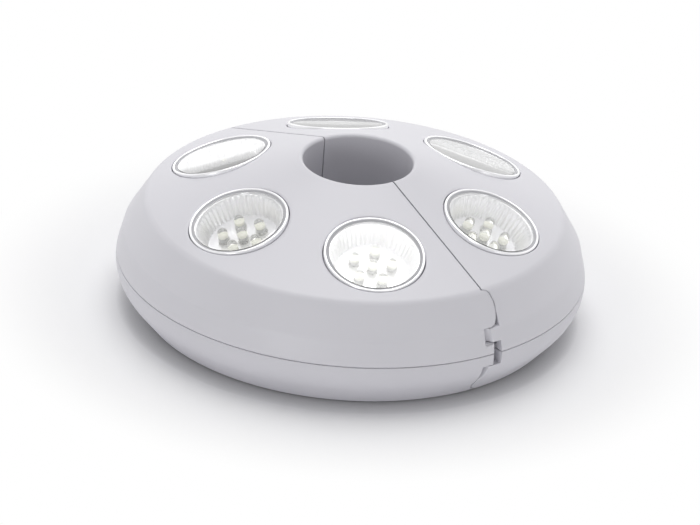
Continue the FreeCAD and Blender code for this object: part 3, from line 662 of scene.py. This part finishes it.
def basePatches(letter):
    heights = np.concatenate([np.arange(25, 19, -1.0), [12.0, 9.0, 6.0, 4.0]])
    lines = np.concatenate([waistArc, baseArc, np.stack([outerRadius(heights), heights], axis=1)])
    rows = sideRows([p for p in lines if p[1] < partLow - bodyShape["edgeRound"]])
    rows = edgeRows(partLow, -1)[::-1] + sorted(set(rows), key=lambda row: -row[1])
    patches = outerPatches(letter, rows)
    grid = lipPatch(0.0)[-2:].copy()
    grid[0, :, 2] = partLow
    patches.append(grid)
    patches.append(bayPocket())
    patches += [screwHole(x, y) for x, y in screwSpots()]
    return patches


under = {
    "bay": (68.0, 33.0, 53.5, 18.4),  # middle, width, length and inside height of the battery bay
    "bayCorner": 1.2, "bayEdge": 0.4,
    "screwCircle": 91.0, "screwTurn": 30.0, "innerScrew": 40.0,
    "screwHole": 3.1, "screwSeat": 4.65, "screwShaft": 1.8, "screwEdge": 0.3, "holeTop": 20.0,
}


def roundedLoop(wide, long, corner, count=6):
    # closed outline of a rectangle with round corners, once round from its +X side
    loop = []
    for quarter, (sx, sy) in enumerate(((1, 1), (-1, 1), (-1, -1), (1, -1))):
        bend = np.radians(np.linspace(90 * quarter, 90 * quarter + 90, count))
        loop.append(np.stack([sx * (wide / 2 - corner) + corner * np.cos(bend),
                              sy * (long / 2 - corner) + corner * np.sin(bend)], axis=1))
    loop = np.concatenate(loop)
    return np.concatenate([loop, loop[:1]])


def bayPocket():
    # the battery bay by rounded rectangles, from its softened edge up to its closed top
    middle, wide, long, tall = under["bay"]
    e = under["bayEdge"]
    rows = [(e, 0.0), (0.3 * e, 0.3 * e), (0.0, e), (0.0, tall - 0.6), (-0.2, tall - 0.2), (-0.6, tall)]
    grid = []
    for grow, height in rows:
        loop = roundedLoop(wide + 2 * grow, long + 2 * grow, under["bayCorner"] + max(grow, -0.6))
        grid.append(np.column_stack([loop[:, 0] + middle, loop[:, 1], np.full(len(loop), height)]))
    grid.append(np.broadcast_to([middle, 0.0, tall], grid[0].shape))
    return np.stack(grid)


def screwSpots():
    turn = math.radians(under["screwTurn"])
    far = under["screwCircle"]
    return [(far * math.cos(turn), far * math.sin(turn)), (far * math.cos(turn), -far * math.sin(turn)),
            (under["innerScrew"], 0.0)]


def screwHole(x, y):
    # a stepped hole by its profile: wide up to the screw's seat, narrow above it
    e = under["screwEdge"]
    hole = under["screwHole"]
    shaft = under["screwShaft"]
    profile = np.array([(hole + e, 0.0), (hole + 0.3 * e, 0.3 * e), (hole, e), (hole, under["screwSeat"]),
                        (shaft, under["screwSeat"]), (shaft, under["holeTop"]), (0.0, under["holeTop"])])
    return revolve(profile, 36) + np.array([x, y, 0.0])


def makeHalf(letter, side):
    # the cover and the base shell of one half, with rounded edges along seam and slots
    cover = buildPiece(f"lampCover.{letter}", onSide(coverPatches(letter), side), f"half_{letter}",
                       coverAbs, [f"lamp_cover_{letter}"], flats=[partTop])
    base = buildPiece(f"baseShell.{letter}", onSide(basePatches(letter), side), f"half_{letter}",
                      baseAbs, [f"base_shell_{letter}"], flats=[partLow, 0.0])
    for shell in (cover, base):
        soften(shell, bodyShape["seamRound"], softenDeg)


halves = {"a": -1, "b": 1}
for letter, side in halves.items():
    makeHalf(letter, side)
print("shells made")


# the lamps, in a frame of their own: z = 0 on the cover's cone

lamp = {
    "ringRadius": 24.9, "ringWidth": 1.5, "ringTop": 0.1, "ringFoot": -9.0, "wall": 0.35, "flange": 1.1,
    "lensSeat": -2.1, "lipRadius": 21.3,
    "floorRadius": 17.5, "floor": -12.15, "flutes": 48, "fluteDepth": 1.0,
    "lensRadius": 22.3, "lensTop": -0.5, "lensThick": 1.6, "lensRound": 0.3,
    "gasketTop": -0.15, "gasketDip": -0.8,
    "ledCircle": 9.5, "ledRadius": 2.5, "ledFoot": 2.9, "ledHeight": 6.8, "ledFootThick": 0.9,
    # the boards sit at slightly different turns
    "ledTurns": {1: 55.0, 2: 60.0, 3: 48.0, 4: 44.0, 5: 50.0, 6: 57.0},
}
lampAngles = {1: 120.0, 2: 180.0, 3: 240.0, 4: -60.0, 5: 0.0, 6: 60.0}


def lampPlace(points, angleDeg):
    # turns points from a lamp's own frame about the level line across the slope, and moves them to the lamp
    a = math.radians(angleDeg)
    axis = Vector((-math.sin(a), math.cos(a), 0.0))
    turn = np.array(Matrix.Rotation(lampTilt, 3, axis))
    spot = np.array([bodyShape["lampRing"] * math.cos(a), bodyShape["lampRing"] * math.sin(a), lampHeight])
    return points @ turn.T + spot


def reflectorGrid():
    # a bead and a flange by their profile, then the bowl with its n flutes:
    # r = r0 - depth (1 + cos(n a)) / 2
    bead = arc((lamp["ringRadius"] - lamp["ringWidth"] / 2, lamp["ringTop"] - lamp["ringWidth"] / 2),
               lamp["ringWidth"] / 2, 0, 180, 13)
    inner = lamp["ringRadius"] - lamp["ringWidth"]
    thick, back = lamp["wall"], lamp["lensSeat"] - lamp["flange"]
    profile = np.concatenate([
        [(0.0, lamp["floor"] - thick), (lamp["floorRadius"] + thick, lamp["floor"] - thick),
         (lamp["lipRadius"] + 2 * thick, back), (lamp["ringRadius"] - lamp["flange"], back),
         (lamp["ringRadius"] - lamp["flange"], lamp["ringFoot"]), (lamp["ringRadius"], lamp["ringFoot"])],
        bead,
        [(inner, lamp["lensSeat"] + 0.3), (inner - 0.1, lamp["lensSeat"] + 0.05),
         (inner - 0.3, lamp["lensSeat"])],
        arc((lamp["lipRadius"] + 0.35, lamp["lensSeat"] - 0.35), 0.35, 90, 155, 5)])
    count = lamp["flutes"] * 8
    ring = revolve(profile, count)
    depth = np.linspace(0, 1, 15)[1:]
    start = profile[-1]
    radius = start[0] + (lamp["floorRadius"] - start[0]) * depth
    height = start[1] + (lamp["floor"] - start[1]) * depth
    angle = np.linspace(0, 2 * math.pi, count + 1)
    strength = np.sin(np.clip(depth * 6, 0, 1) * math.pi / 2)
    groove = lamp["fluteDepth"] * (0.5 + 0.5 * np.cos(lamp["flutes"] * angle))
    r = radius[:, None] - strength[:, None] * groove[None, :] * (radius / radius[0])[:, None]
    levels = np.repeat(height[:, None], count + 1, axis=1)
    bowl = np.stack([r * np.cos(angle), r * np.sin(angle), levels], axis=-1)
    floor = np.stack([bowl[-1], bowl[-1] * np.array([0.5, 0.5, 1.0]), bowl[-1] * np.array([0.0, 0.0, 1.0])])
    return np.concatenate([ring, bowl, floor[1:]])


def gasketGrid():
    # a soft ring that fills the groove between the bright ring and the lens, hollow on top
    outer = lamp["ringRadius"] - lamp["ringWidth"] + 0.05
    inner = lamp["lensRadius"] + 0.02
    low = lamp["lensSeat"] + 0.02
    high, dip = lamp["gasketTop"], lamp["gasketDip"]
    profile = np.array([(inner, low), (outer, low), (outer, high), (outer - 0.12, high - 0.03),
                        (outer - 0.5, (high + dip) / 2 - 0.06), (inner + 0.1, dip), (inner, dip),
                        (inner, low)])
    return revolve(profile, 144)


def lensGrid():
    # a flat disc with a rounded upper edge
    top = lamp["lensTop"]
    low = top - lamp["lensThick"] + 0.02
    e = lamp["lensRound"]
    profile = np.concatenate([[(0.0, low), (lamp["lensRadius"] - 0.1, low), (lamp["lensRadius"], low + 0.1)],
                              arc((lamp["lensRadius"] - e, top - e), e, 0, 90, 6), [(0.0, top)]])
    return revolve(profile, 144)


def ledGrids():
    # one clear light: a flange, a straight body and a round dome, closed below
    body = lamp["ledRadius"]
    high = lamp["ledHeight"]
    foot = lamp["ledFoot"]
    thick = lamp["ledFootThick"]
    profile = np.concatenate([[(0.0, 0.0), (foot - 0.1, 0.0), (foot, 0.1), (foot, thick - 0.1),
                               (foot - 0.1, thick), (body, thick)], arc((0.0, high - body), body, 0, 90, 9)])
    cup = np.array([(0.0, 0.3), (1.3, 0.3), (1.5, 0.6), (1.5, 1.6), (1.3, 1.85), (0.9, 1.9), (0.9, 2.0),
                    (0.0, 2.0)])
    chip = np.array([(0.0, 1.95), (1.3, 2.0), (1.7, 2.4), (1.75, 3.2), (1.5, 3.5), (1.0, 3.6), (0.6, 3.8),
                     (0.0, 3.85)])
    return revolve(profile, 28), revolve(cup, 16), revolve(chip, 16)


def ledSpots(number):
    # one light in the middle and five round it: (r cos a, r sin a), a = turn + 72 n degrees
    angle = np.radians(lamp["ledTurns"][number] + 72.0 * np.arange(5))
    ring = np.stack([lamp["ledCircle"] * np.cos(angle), lamp["ledCircle"] * np.sin(angle)], axis=1)
    return np.concatenate([[(0.0, 0.0)], ring])


def makeLamp(number, angle):
    # lamps 1 to 3 ride on half a, 4 to 6 on half b
    body = "half_a" if number <= 3 else "half_b"
    buildPiece(f"reflector.{number}", [lampPlace(reflectorGrid(), angle)], body, chromedBowl,
               [f"reflector_{number}"], sharp=fineSmoothDeg)
    buildPiece(f"lens.{number}", [lampPlace(lensGrid(), angle)], body, clearLens,
               [f"lens_{number}"])
    buildPiece(f"lensGasket.{number}", [lampPlace(gasketGrid(), angle)], body, gasketRubber,
               sharp=fineSmoothDeg)
    shell, cup, chip = ledGrids()
    spots = [np.array([x, y, lamp["floor"]]) for x, y in ledSpots(number)]
    buildPiece(f"ledBodies.{number}", [lampPlace(shell + spot, angle) for spot in spots], body, ledEpoxy,
               [f"led_cluster_{number}"], sharp=fineSmoothDeg)
    buildPiece(f"ledCups.{number}", [lampPlace(cup + spot, angle) for spot in spots], body, ledLeads,
               sharp=fineSmoothDeg)
    buildPiece(f"ledChips.{number}", [lampPlace(chip + spot, angle) for spot in spots], body, ledPhosphor,
               sharp=fineSmoothDeg)


for number, angle in lampAngles.items():
    makeLamp(number, angle)
print("lamps made")


# the power button, its dish and its hole in the cover's side

button = {
    "side": 113.877, "height": 31.6,  # the cover's face at the button's axis
    "radius": 4.95, "face": 0.1, "crown": 0.55, "edge": 0.7, "seat": 4.7, "flange": 1.3, "flangeThick": 1.2,
    "markRadius": 2.3, "markWidth": 0.35, "markDepth": 0.22,
    "dishRadius": 6.2, "dishDepth": 1.5, "dishSlope": 0.5, "hole": 5.3, "holeDepth": 7.0,
}


def buttonPlace(grid):
    # a turned shape's own axis, its heights, becomes the way out of the cover's side
    out = np.empty_like(grid)
    out[..., 0] = button["side"] + grid[..., 2]
    out[..., 1] = grid[..., 0]
    out[..., 2] = button["height"] + grid[..., 1]
    return out


def buttonGrid():
    # a crowned face: h = face - crown (1 - cos(pi r / 2R)), with a ring groove pressed into it
    r = np.linspace(0.0, button["radius"] - button["edge"], 40)
    rise = button["crown"] * (1 - np.cos(math.pi * r / (2 * button["radius"])))
    mark = np.exp(-((r - button["markRadius"]) / button["markWidth"]) ** 2) * button["markDepth"]
    face = np.stack([r, button["face"] - rise - mark], axis=1)
    rim = arc((face[-1, 0], face[-1, 1] - button["edge"]), button["edge"], 90, 0, 7)[1:]
    wide = button["radius"] + button["flange"]
    low = -button["seat"] - button["flangeThick"]
    skirt = [(button["radius"], -button["seat"]), (wide - 0.15, -button["seat"]),
             (wide, -button["seat"] - 0.15), (wide, low + 0.15), (wide - 0.15, low), (0.0, low)]
    return revolve(np.concatenate([face, rim, skirt]), 72)


def dishCutter():
    # the sunk flat round the button with its rounded wall, and the button's hole behind it
    deep, wide = button["dishDepth"], button["dishRadius"]
    bend = arc((wide - 0.6, -deep + 0.6), 0.6, -90, 0, 6)
    profile = np.concatenate([[(0.0, -button["holeDepth"]), (button["hole"], -button["holeDepth"]),
                               (button["hole"], -deep - 0.25), (button["hole"] + 0.25, -deep)], bend,
                              [(wide + button["dishSlope"], 3.0), (0.0, 3.0)]])
    return revolve(profile, 96)


carve(bpy.data.objects["lampCover.b"], [[buttonPlace(dishCutter())]])
soften(bpy.data.objects["lampCover.b"], bodyShape["seamRound"], softenDeg)
buildPiece("powerButton", [buttonPlace(buttonGrid())], "button", buttonRubber,
           ["power_button"], sharp=fineSmoothDeg)
print("button made")


# battery doors, with a scooped thumb grip

door = {
    "wide": 32.3, "long": 52.8, "low": 0.3, "high": 2.3, "corner": 1.2, "edge": 0.35, "middle": 68.0,
    "scoop": (0.0, 17.0, 9.0, 6.5, 0.95),  # middle, half width, half length and depth of the thumb grip
    "ribPitch": 1.6, "ribHeight": 0.28,
    "rings": 60, "columns": 240,
}


def doorGrid(side):
    # outer face by rings of a rounded rectangle: z = low + depth (1 - d^4) - ribs inside the grip's ellipse,
    # where d = 1 on the ellipse
    x0, y0, rx, ry, depth = door["scoop"]
    corners = roundedLoop(door["wide"], door["long"], door["corner"], 8)
    along = np.concatenate([[0.0], np.cumsum(np.linalg.norm(np.diff(corners, axis=0), axis=1))])
    at = np.unique(np.concatenate([along, np.linspace(0.0, along[-1], door["columns"])]))
    full = np.stack([np.interp(at, along, corners[:, 0]), np.interp(at, along, corners[:, 1])], axis=1)
    share = np.linspace(0, 1 - 2 * door["edge"] / door["wide"], door["rings"])
    grid = share[:, None, None] * full[None]
    d2 = ((grid[..., 0] - x0) / rx) ** 2 + ((grid[..., 1] - y0) / ry) ** 2
    inside = np.clip(1 - d2, 0, 1)
    ribs = door["ribHeight"] * (0.5 + 0.5 * np.cos(2 * math.pi * (grid[..., 1] - y0) / door["ribPitch"]))
    face = door["low"] + depth * (1 - (1 - inside) ** 2) - ribs * np.minimum(1, inside * 4)
    rows = [np.dstack([grid[..., 0], grid[..., 1], face])]
    e = door["edge"]
    for inwards, height in ((0.3 * e, door["low"] + 0.3 * e), (0.0, door["low"] + e),
                            (0.0, door["high"] - 0.2), (0.2, door["high"]), (door["wide"], door["high"])):
        shrink = max(0.0, 1 - 2 * inwards / door["wide"])
        loop = full * shrink
        rows.append(np.column_stack([loop, np.full(len(loop), height)])[None])
    grid = np.concatenate(rows)
    grid[..., 0] += side * door["middle"]
    return grid


for letter, side in halves.items():
    buildPiece(f"batteryDoor.{letter}", [doorGrid(side)], f"door_{letter}", baseAbs,
               [f"battery_door_{letter}"])
print("doors made")


# screws with pan heads and cross recesses, seen up the holes of the base

screw = {"head": 2.8, "low": 2.6, "high": 4.6, "crown": 0.7, "shaft": 1.45, "length": 32.0,
         "slotHalf": 0.36, "slotReach": 1.55, "slotDeep": 1.1}


def screwGrid():
    # crowned head below, h = low + crown (r / R)^4, with a cross pressed in where |x| or |y| is small
    r = np.linspace(0, screw["head"] - 0.1, 36)
    turn = np.linspace(0, 2 * math.pi, 97)
    x, y = r[:, None] * np.cos(turn), r[:, None] * np.sin(turn)

    def within(value, limit):
        return np.clip((limit + 0.08 - np.abs(value)) / 0.16, 0, 1)

    cross = np.maximum(within(x, screw["slotHalf"]) * within(y, screw["slotReach"]),
                       within(y, screw["slotHalf"]) * within(x, screw["slotReach"]))
    taper = np.clip(1 - r[:, None] / (screw["slotReach"] + 0.6), 0, 1)
    height = screw["low"] + screw["crown"] * (r[:, None] / screw["head"]) ** 4
    head = np.stack([x, y, height + cross * taper * screw["slotDeep"]], axis=-1)
    top = screw["low"] + screw["length"]
    rest = revolve(np.array([(screw["head"], screw["low"] + screw["crown"] + 0.1),
                             (screw["head"], screw["high"]), (screw["shaft"], screw["high"]),
                             (screw["shaft"], top - 1.5), (0.3, top), (0.0, top)]), 96)
    return np.concatenate([head, rest])


for letter, side in halves.items():
    grids = [(screwGrid() + np.array([x, y, 0.0])) * np.array([side, 1, 1]) for x, y in screwSpots()]
    buildPiece(f"shellScrews.{letter}", grids, f"half_{letter}", zincSteel,
               [f"shell_screws_{letter}"])
print("screws made")


# AA cells: a jacket crimped over steel ends, with a nub at the plus end

cell = {"radius": 7.25, "length": 49.5, "nub": 2.75, "nubLong": 1.0, "pitch": 16.0, "height": 10.4,
        "crimp": 0.35}


def cellGrids():
    # jacket and steel by their profiles (radius, length along the cell)
    low, high = -cell["length"] / 2, cell["length"] / 2 - cell["nubLong"]
    r, e = cell["radius"], cell["crimp"]
    jacket = np.array([(r - 1.3, low + 0.1), (r - 1.0, low), (r - e, low + 0.02), (r, low + e),
                       (r, low + 2.2), (r - 0.06, low + 2.4), (r - 0.06, high - 2.4), (r, high - 2.2),
                       (r, high - e),
                       (r - e, high - 0.02), (r - 1.0, high), (r - 1.3, high - 0.1), (r - 1.3, low + 0.1)])
    nub = cell["nub"]
    steel = np.array([(0.0, low + 0.3), (r - 1.6, low + 0.3), (r - 1.25, low + 0.1), (r - 1.25, low + 0.6),
                      (r - 1.25, high - 0.6), (r - 1.25, high - 0.1), (r - 1.6, high - 0.3),
                      (nub + 0.5, high - 0.3), (nub, high), (nub, high + cell["nubLong"] - 0.3),
                      (nub - 0.3, high + cell["nubLong"]),
                      (0.0, high + cell["nubLong"])])
    return revolve(jacket, 72), revolve(steel, 48)


def cellPlace(grid, x, way):
    # a turned shape laid along Y, its plus end towards way
    return np.stack([x + grid[..., 0], way * grid[..., 2], cell["height"] + grid[..., 1]], axis=-1)


for letter, side in halves.items():
    jacket, steel = cellGrids()
    spots = [(side * (door["middle"] - cell["pitch"] / 2), 1),
             (side * (door["middle"] + cell["pitch"] / 2), -1)]
    buildPiece(f"cellJackets.{letter}", [cellPlace(jacket, x, way) for x, way in spots], f"half_{letter}",
               cellJacket, [f"battery_cells_{letter}"])
    buildPiece(f"cellEnds.{letter}", [cellPlace(steel, x, way) for x, way in spots], f"half_{letter}",
               cellSteel)
print("cells made")


# rubber pads in the bore with upright grooves

pad = {"inner": 19.0, "outer": 26.9, "halfDeg": 50.0, "low": 8.0, "high": 36.0, "edge": 1.0,
       "grooves": 5, "grooveWide": 1.6, "grooveDeep": 1.2}


def padGrid(side):
    # face radius r = inner + depth * s, s smooth between 0 on the ribs and 1 in the grooves
    span = np.radians(np.linspace(-pad["halfDeg"], pad["halfDeg"], 181))
    places = np.radians(np.linspace(-pad["halfDeg"], pad["halfDeg"], pad["grooves"] + 2)[1:-1])
    away = np.abs(span[:, None] - places[None, :]).min(axis=1) * pad["inner"]
    sunk = pad["grooveDeep"] * np.clip((pad["grooveWide"] / 2 + 0.25 - away) / 0.5, 0, 1)
    end = np.clip((math.radians(pad["halfDeg"]) - np.abs(span)) * pad["inner"] / pad["edge"], 0, 1)
    sunk = np.maximum(sunk, pad["edge"] * (1 - np.sqrt(1 - (1 - end) ** 2)))
    e = pad["edge"]
    rows = [(None, pad["low"]), (e, pad["low"]), (0.3 * e, pad["low"] + 0.3 * e), (0.0, pad["low"] + e),
            (0.0, pad["high"] - e), (0.3 * e, pad["high"] - 0.3 * e), (e, pad["high"]), (None, pad["high"]),
            (None, pad["low"])]
    grid = []
    for inwards, height in rows:
        radius = np.full(len(span), pad["outer"])
        if inwards is not None:
            radius = pad["inner"] + np.maximum(sunk, inwards)
        level = np.full(len(span), height)
        grid.append(np.stack([side * radius * np.cos(span), radius * np.sin(span), level], axis=1))
    return np.stack(grid)


def padEnds(grid):
    # closes both ends of the pad with a fan of its outline
    ends = []
    for column in (0, -1):
        outline = grid[:, column]
        ends.append(np.stack([outline, np.broadcast_to(outline.mean(axis=0), outline.shape)]))
    return ends


for letter, side in halves.items():
    grid = padGrid(side)
    buildPiece(f"gripPad.{letter}", [grid, *padEnds(grid)], f"half_{letter}", gripRubber,
               [f"grip_pad_{letter}"])
print("pads made")


# the hinge spring as a wound wire with two legs

spring = {"low": 22.35, "high": 28.65, "radius": 3.05, "wire": 0.55, "turns": 5.0, "leg": 8.9, "steps": 160}


def springGrid():
    # the wire's middle: (r cos t, r sin t, low + pitch t) with straight legs along its two ends
    t = np.linspace(0, 1, spring["steps"])
    angle = math.radians(-90.0) + 2 * math.pi * spring["turns"] * t
    coil = np.stack([spring["radius"] * np.cos(angle), spring["radius"] * np.sin(angle),
                     spring["low"] + (spring["high"] - spring["low"]) * t], axis=1)
    tangent = np.array([math.cos(angle[0] + math.pi / 2), math.sin(angle[0] + math.pi / 2), 0.0])
    out = np.linspace(spring["leg"], 0.5, 8)[:, None]
    path = np.concatenate([coil[0] - tangent * out, coil, (coil[-1] + tangent * out[::-1])])
    along = np.gradient(path, axis=0)
    along /= np.linalg.norm(along, axis=1)[:, None]
    aside = np.cross(along, [0.0, 0.0, 1.0])
    aside /= np.linalg.norm(aside, axis=1)[:, None]
    up = np.cross(aside, along)
    ring = np.linspace(0, 2 * math.pi, 11)
    circle = np.cos(ring)[None, :, None] * aside[:, None] + np.sin(ring)[None, :, None] * up[:, None]
    tube = path[:, None] + spring["wire"] * circle
    ends = [np.broadcast_to(path[i], (1,) + tube[i].shape) for i in (0, -1)]
    tube = np.concatenate([ends[0], tube, ends[1]])
    return tube + np.array([0.0, -hinge["pinRadius"], 0.0])


buildPiece("hingeSpring", [springGrid()], "half_a", springWire, ["hinge_spring"])
print("spring made")


# finishes of the pieces that stay as they are

finishes = {
    "led_board": boardMask, "battery_contacts": contactStrip, "hinge_pin": zincSteel,
    "switch_board": boardMask, "push_switch": switchBody,
}
for name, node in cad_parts.items():
    for start, material in finishes.items():
        if name.startswith(start):
            node.data.materials.clear()
            node.data.materials.append(material)
print("finishes given")


# the studio: paper floor, pale room and three soft lights

studio = {
    "worldBright": 0.75, "worldDim": 0.35,  # the room's light, dimmer above and behind the camera
    "shownBright": 1.15, "shownDim": 0.7,  # the same where chrome and glass reflect it
    "panel": 0.5, "panelWay": (50.0, 4.0), "panelFrom": 0.75, "panelFull": 0.93,  # bright wall low behind it
    "dimWay": (-129.0, 35.0), "dimStart": -0.5, "dimEnd": 0.9,  # way to the dim part, and its soft edge
    # direction in plan, height above the horizon, distance, diameter and power of each soft light
    "softboxes": {"overhead": (51.0, 74.0, 2.5, 2.2, 30.2), "fillLeft": (-155.0, 9.0, 2.5, 0.8, 8.5),
                  "fillRight": (-90.0, 9.0, 2.5, 0.8, 3.5)},
    "floorColour": "FBFBFC",
    "paintedShadeReach": 0.01, "paintedContactShade": 0.45,  # painted shade: the paper is darkened by ambient occlusion where it runs in under the object, for camera rays only
    "whiteFrom": 0.13, "whiteFull": 0.19,  # distance at which the paper fades to plain white
    "floorSize": 12.0, "floorDrop": 0.0001,
}


def makeFloor():
    # white paper: it keeps the object's shadow near the object, deepened by a painted shade under its edge
    # that only the camera sees, and is plain white further out
    size = studio["floorSize"]
    low = -studio["floorDrop"]
    mesh = bpy.data.meshes.new("floor")
    corners = [(-size, -size, low), (size, -size, low), (size, size, low), (-size, size, low)]
    mesh.from_pydata(corners, [], [(0, 1, 2, 3)])
    floor = bpy.data.objects.new("floor", mesh)
    bpy.context.scene.collection.objects.link(floor)
    material, tree, output = newMaterial("paperSweep")
    path = addNode(tree, "ShaderNodeLightPath")
    paper = linearColour(studio["floorColour"])
    # painted shade: an ambient occlusion node darkens the paper's colour under the object for camera rays
    # only, on top of the real shadow
    under = addNode(tree, "ShaderNodeAmbientOcclusion", {"samples": 8}, Distance=studio["paintedShadeReach"])
    shade = addNode(tree, "ShaderNodeMapRange", Value=under.outputs["AO"], To_Min=studio["paintedContactShade"])
    shade = addNode(tree, "ShaderNodeMix", in0=path.outputs["Is Camera Ray"], in2=1.0,
                    in3=shade.outputs["Result"])
    colour = addNode(tree, "ShaderNodeMix", {"data_type": "RGBA", "blend_type": "MULTIPLY"}, Factor=1.0,
                     in6=paper, in7=shade.outputs[0])
    shader = addNode(tree, "ShaderNodeBsdfDiffuse", Color=colour.outputs[2])
    seen = addNode(tree, "ShaderNodeMath", {"operation": "MAXIMUM"}, in0=path.outputs["Is Camera Ray"],
                   in1=path.outputs["Is Glossy Ray"])
    seen = addNode(tree, "ShaderNodeMath", {"operation": "MAXIMUM"}, in0=seen.outputs[0],
                   in1=path.outputs["Is Transmission Ray"])
    away = addNode(tree, "ShaderNodeVectorMath", {"operation": "LENGTH"},
                   in0=addNode(tree, "ShaderNodeTexCoord").outputs["Object"])
    fade = addNode(tree, "ShaderNodeMapRange", {"interpolation_type": "SMOOTHSTEP"},
                   Value=away.outputs["Value"], From_Min=studio["whiteFrom"], From_Max=studio["whiteFull"],
                   To_Max=seen.outputs[0])
    white = addNode(tree, "ShaderNodeEmission", Color=linearColour("FFFFFF"), Strength=1.0)
    mixed = addNode(tree, "ShaderNodeMixShader", in0=fade.outputs["Result"], in1=shader.outputs[0],
                    in2=white.outputs[0])
    tree.links.new(mixed.outputs[0], output.inputs["Surface"])
    mesh.materials.append(material)


def wayTo(turnDeg, riseDeg):
    # a direction in plan and its height above the horizon: (cos t cos r, sin t cos r, sin r)
    turn, rise = math.radians(turnDeg), math.radians(riseDeg)
    return math.cos(turn) * math.cos(rise), math.sin(turn) * math.cos(rise), math.sin(rise)


def makeWorld():
    # a pale room that is dimmer on one side; the camera itself sees plain white
    world = bpy.data.worlds.new("studio")
    bpy.context.scene.world = world
    world.use_nodes = True
    tree = world.node_tree
    tree.nodes.clear()
    output = addNode(tree, "ShaderNodeOutputWorld")
    way = addNode(tree, "ShaderNodeTexCoord").outputs["Generated"]
    dim = addNode(tree, "ShaderNodeVectorMath", {"operation": "DOT_PRODUCT"}, in0=way,
                  in1=wayTo(*studio["dimWay"]))
    path = addNode(tree, "ShaderNodeLightPath")
    mirrored = addNode(tree, "ShaderNodeMath", {"operation": "MAXIMUM"}, in0=path.outputs["Is Glossy Ray"],
                       in1=path.outputs["Is Transmission Ray"])
    level = {}
    for kind in ("world", "shown"):
        level[kind] = addNode(tree, "ShaderNodeMapRange", {"interpolation_type": "SMOOTHSTEP"},
                              Value=dim.outputs["Value"], From_Min=studio["dimStart"],
                              From_Max=studio["dimEnd"], To_Min=studio[kind + "Bright"],
                              To_Max=studio[kind + "Dim"]).outputs["Result"]
    panel = addNode(tree, "ShaderNodeVectorMath", {"operation": "DOT_PRODUCT"}, in0=way,
                    in1=wayTo(*studio["panelWay"]))
    panel = addNode(tree, "ShaderNodeMapRange", {"interpolation_type": "SMOOTHSTEP"},
                    Value=panel.outputs["Value"], From_Min=studio["panelFrom"],
                    From_Max=studio["panelFull"], To_Max=studio["panel"])
    shown = addNode(tree, "ShaderNodeMath", {"operation": "ADD"}, in0=level["shown"],
                    in1=panel.outputs["Result"])
    strength = addNode(tree, "ShaderNodeMix", in0=mirrored.outputs[0], in2=level["world"],
                       in3=shown.outputs[0])
    strength = addNode(tree, "ShaderNodeMix", in0=path.outputs["Is Camera Ray"], in2=strength.outputs[0],
                       in3=1.0)
    light = addNode(tree, "ShaderNodeBackground", Color=linearColour("FFFFFF"), Strength=strength.outputs[0])
    tree.links.new(light.outputs[0], output.inputs["Surface"])


def makeSoftbox(name, turnDeg, riseDeg, distance, size, power):
    # a round soft light that stands in a direction from the object and faces it
    way = Vector(wayTo(turnDeg, riseDeg))
    light = bpy.data.lights.new(name, "AREA")
    light.shape = "DISK"
    light.size = size
    light.energy = power
    box = bpy.data.objects.new(name, light)
    box.location = way * distance
    box.rotation_mode = "QUATERNION"
    box.rotation_quaternion = (-way).to_track_quat("-Z", "Y")
    bpy.context.scene.collection.objects.link(box)


# the camera, set by where the middle of the bore's mouth stands in the picture

cameraShape = {
    "azimuth": -39.04, "elevation": 26.44, "roll": 4.2, "distance": 8.6,
    "mmPerPixel": 0.4887, "imageWidth": 700, "imageHeight": 525, "mouthHeight": 81.14,
    "borePixel": (358.14, 160.31),  # where the middle of the bore's mouth stands in the picture
}


def makeCamera():
    # aim = mouth - across * columns - upright * rows, in millimetres per pixel
    a, e, roll = (math.radians(cameraShape[k]) for k in ("azimuth", "elevation", "roll"))
    back = Vector((math.sin(a) * math.cos(e), -math.cos(a) * math.cos(e), math.sin(e)))
    right = Vector((math.cos(a), math.sin(a), 0.0))
    up = back.cross(right)
    across = right * math.cos(roll) + up * math.sin(roll)
    upright = up * math.cos(roll) - right * math.sin(roll)
    scale = cameraShape["mmPerPixel"] * mm
    column, row = cameraShape["borePixel"]
    mouth = Vector((0.0, 0.0, cameraShape["mouthHeight"] * mm))
    aim = mouth - across * (column - cameraShape["imageWidth"] / 2) * scale
    aim -= upright * (cameraShape["imageHeight"] / 2 - row) * scale
    data = bpy.data.cameras.new("camera")
    data.sensor_width = 36.0
    data.lens = 36.0 * cameraShape["distance"] / (cameraShape["imageWidth"] * scale)
    data.clip_start = 0.1
    data.clip_end = 60.0
    camera = bpy.data.objects.new("camera", data)
    camera.matrix_world = Matrix.Translation(aim + back * cameraShape["distance"]) @ Matrix(
        (across, upright, back)).transposed().to_4x4()
    bpy.context.scene.collection.objects.link(camera)
    bpy.context.scene.camera = camera


makeFloor()
makeWorld()
for name, values in studio["softboxes"].items():
    makeSoftbox(name, *values)
makeCamera()
bpy.context.scene.view_settings.view_transform = "Standard"
print("studio and camera made")

bpy.context.view_layer.update()
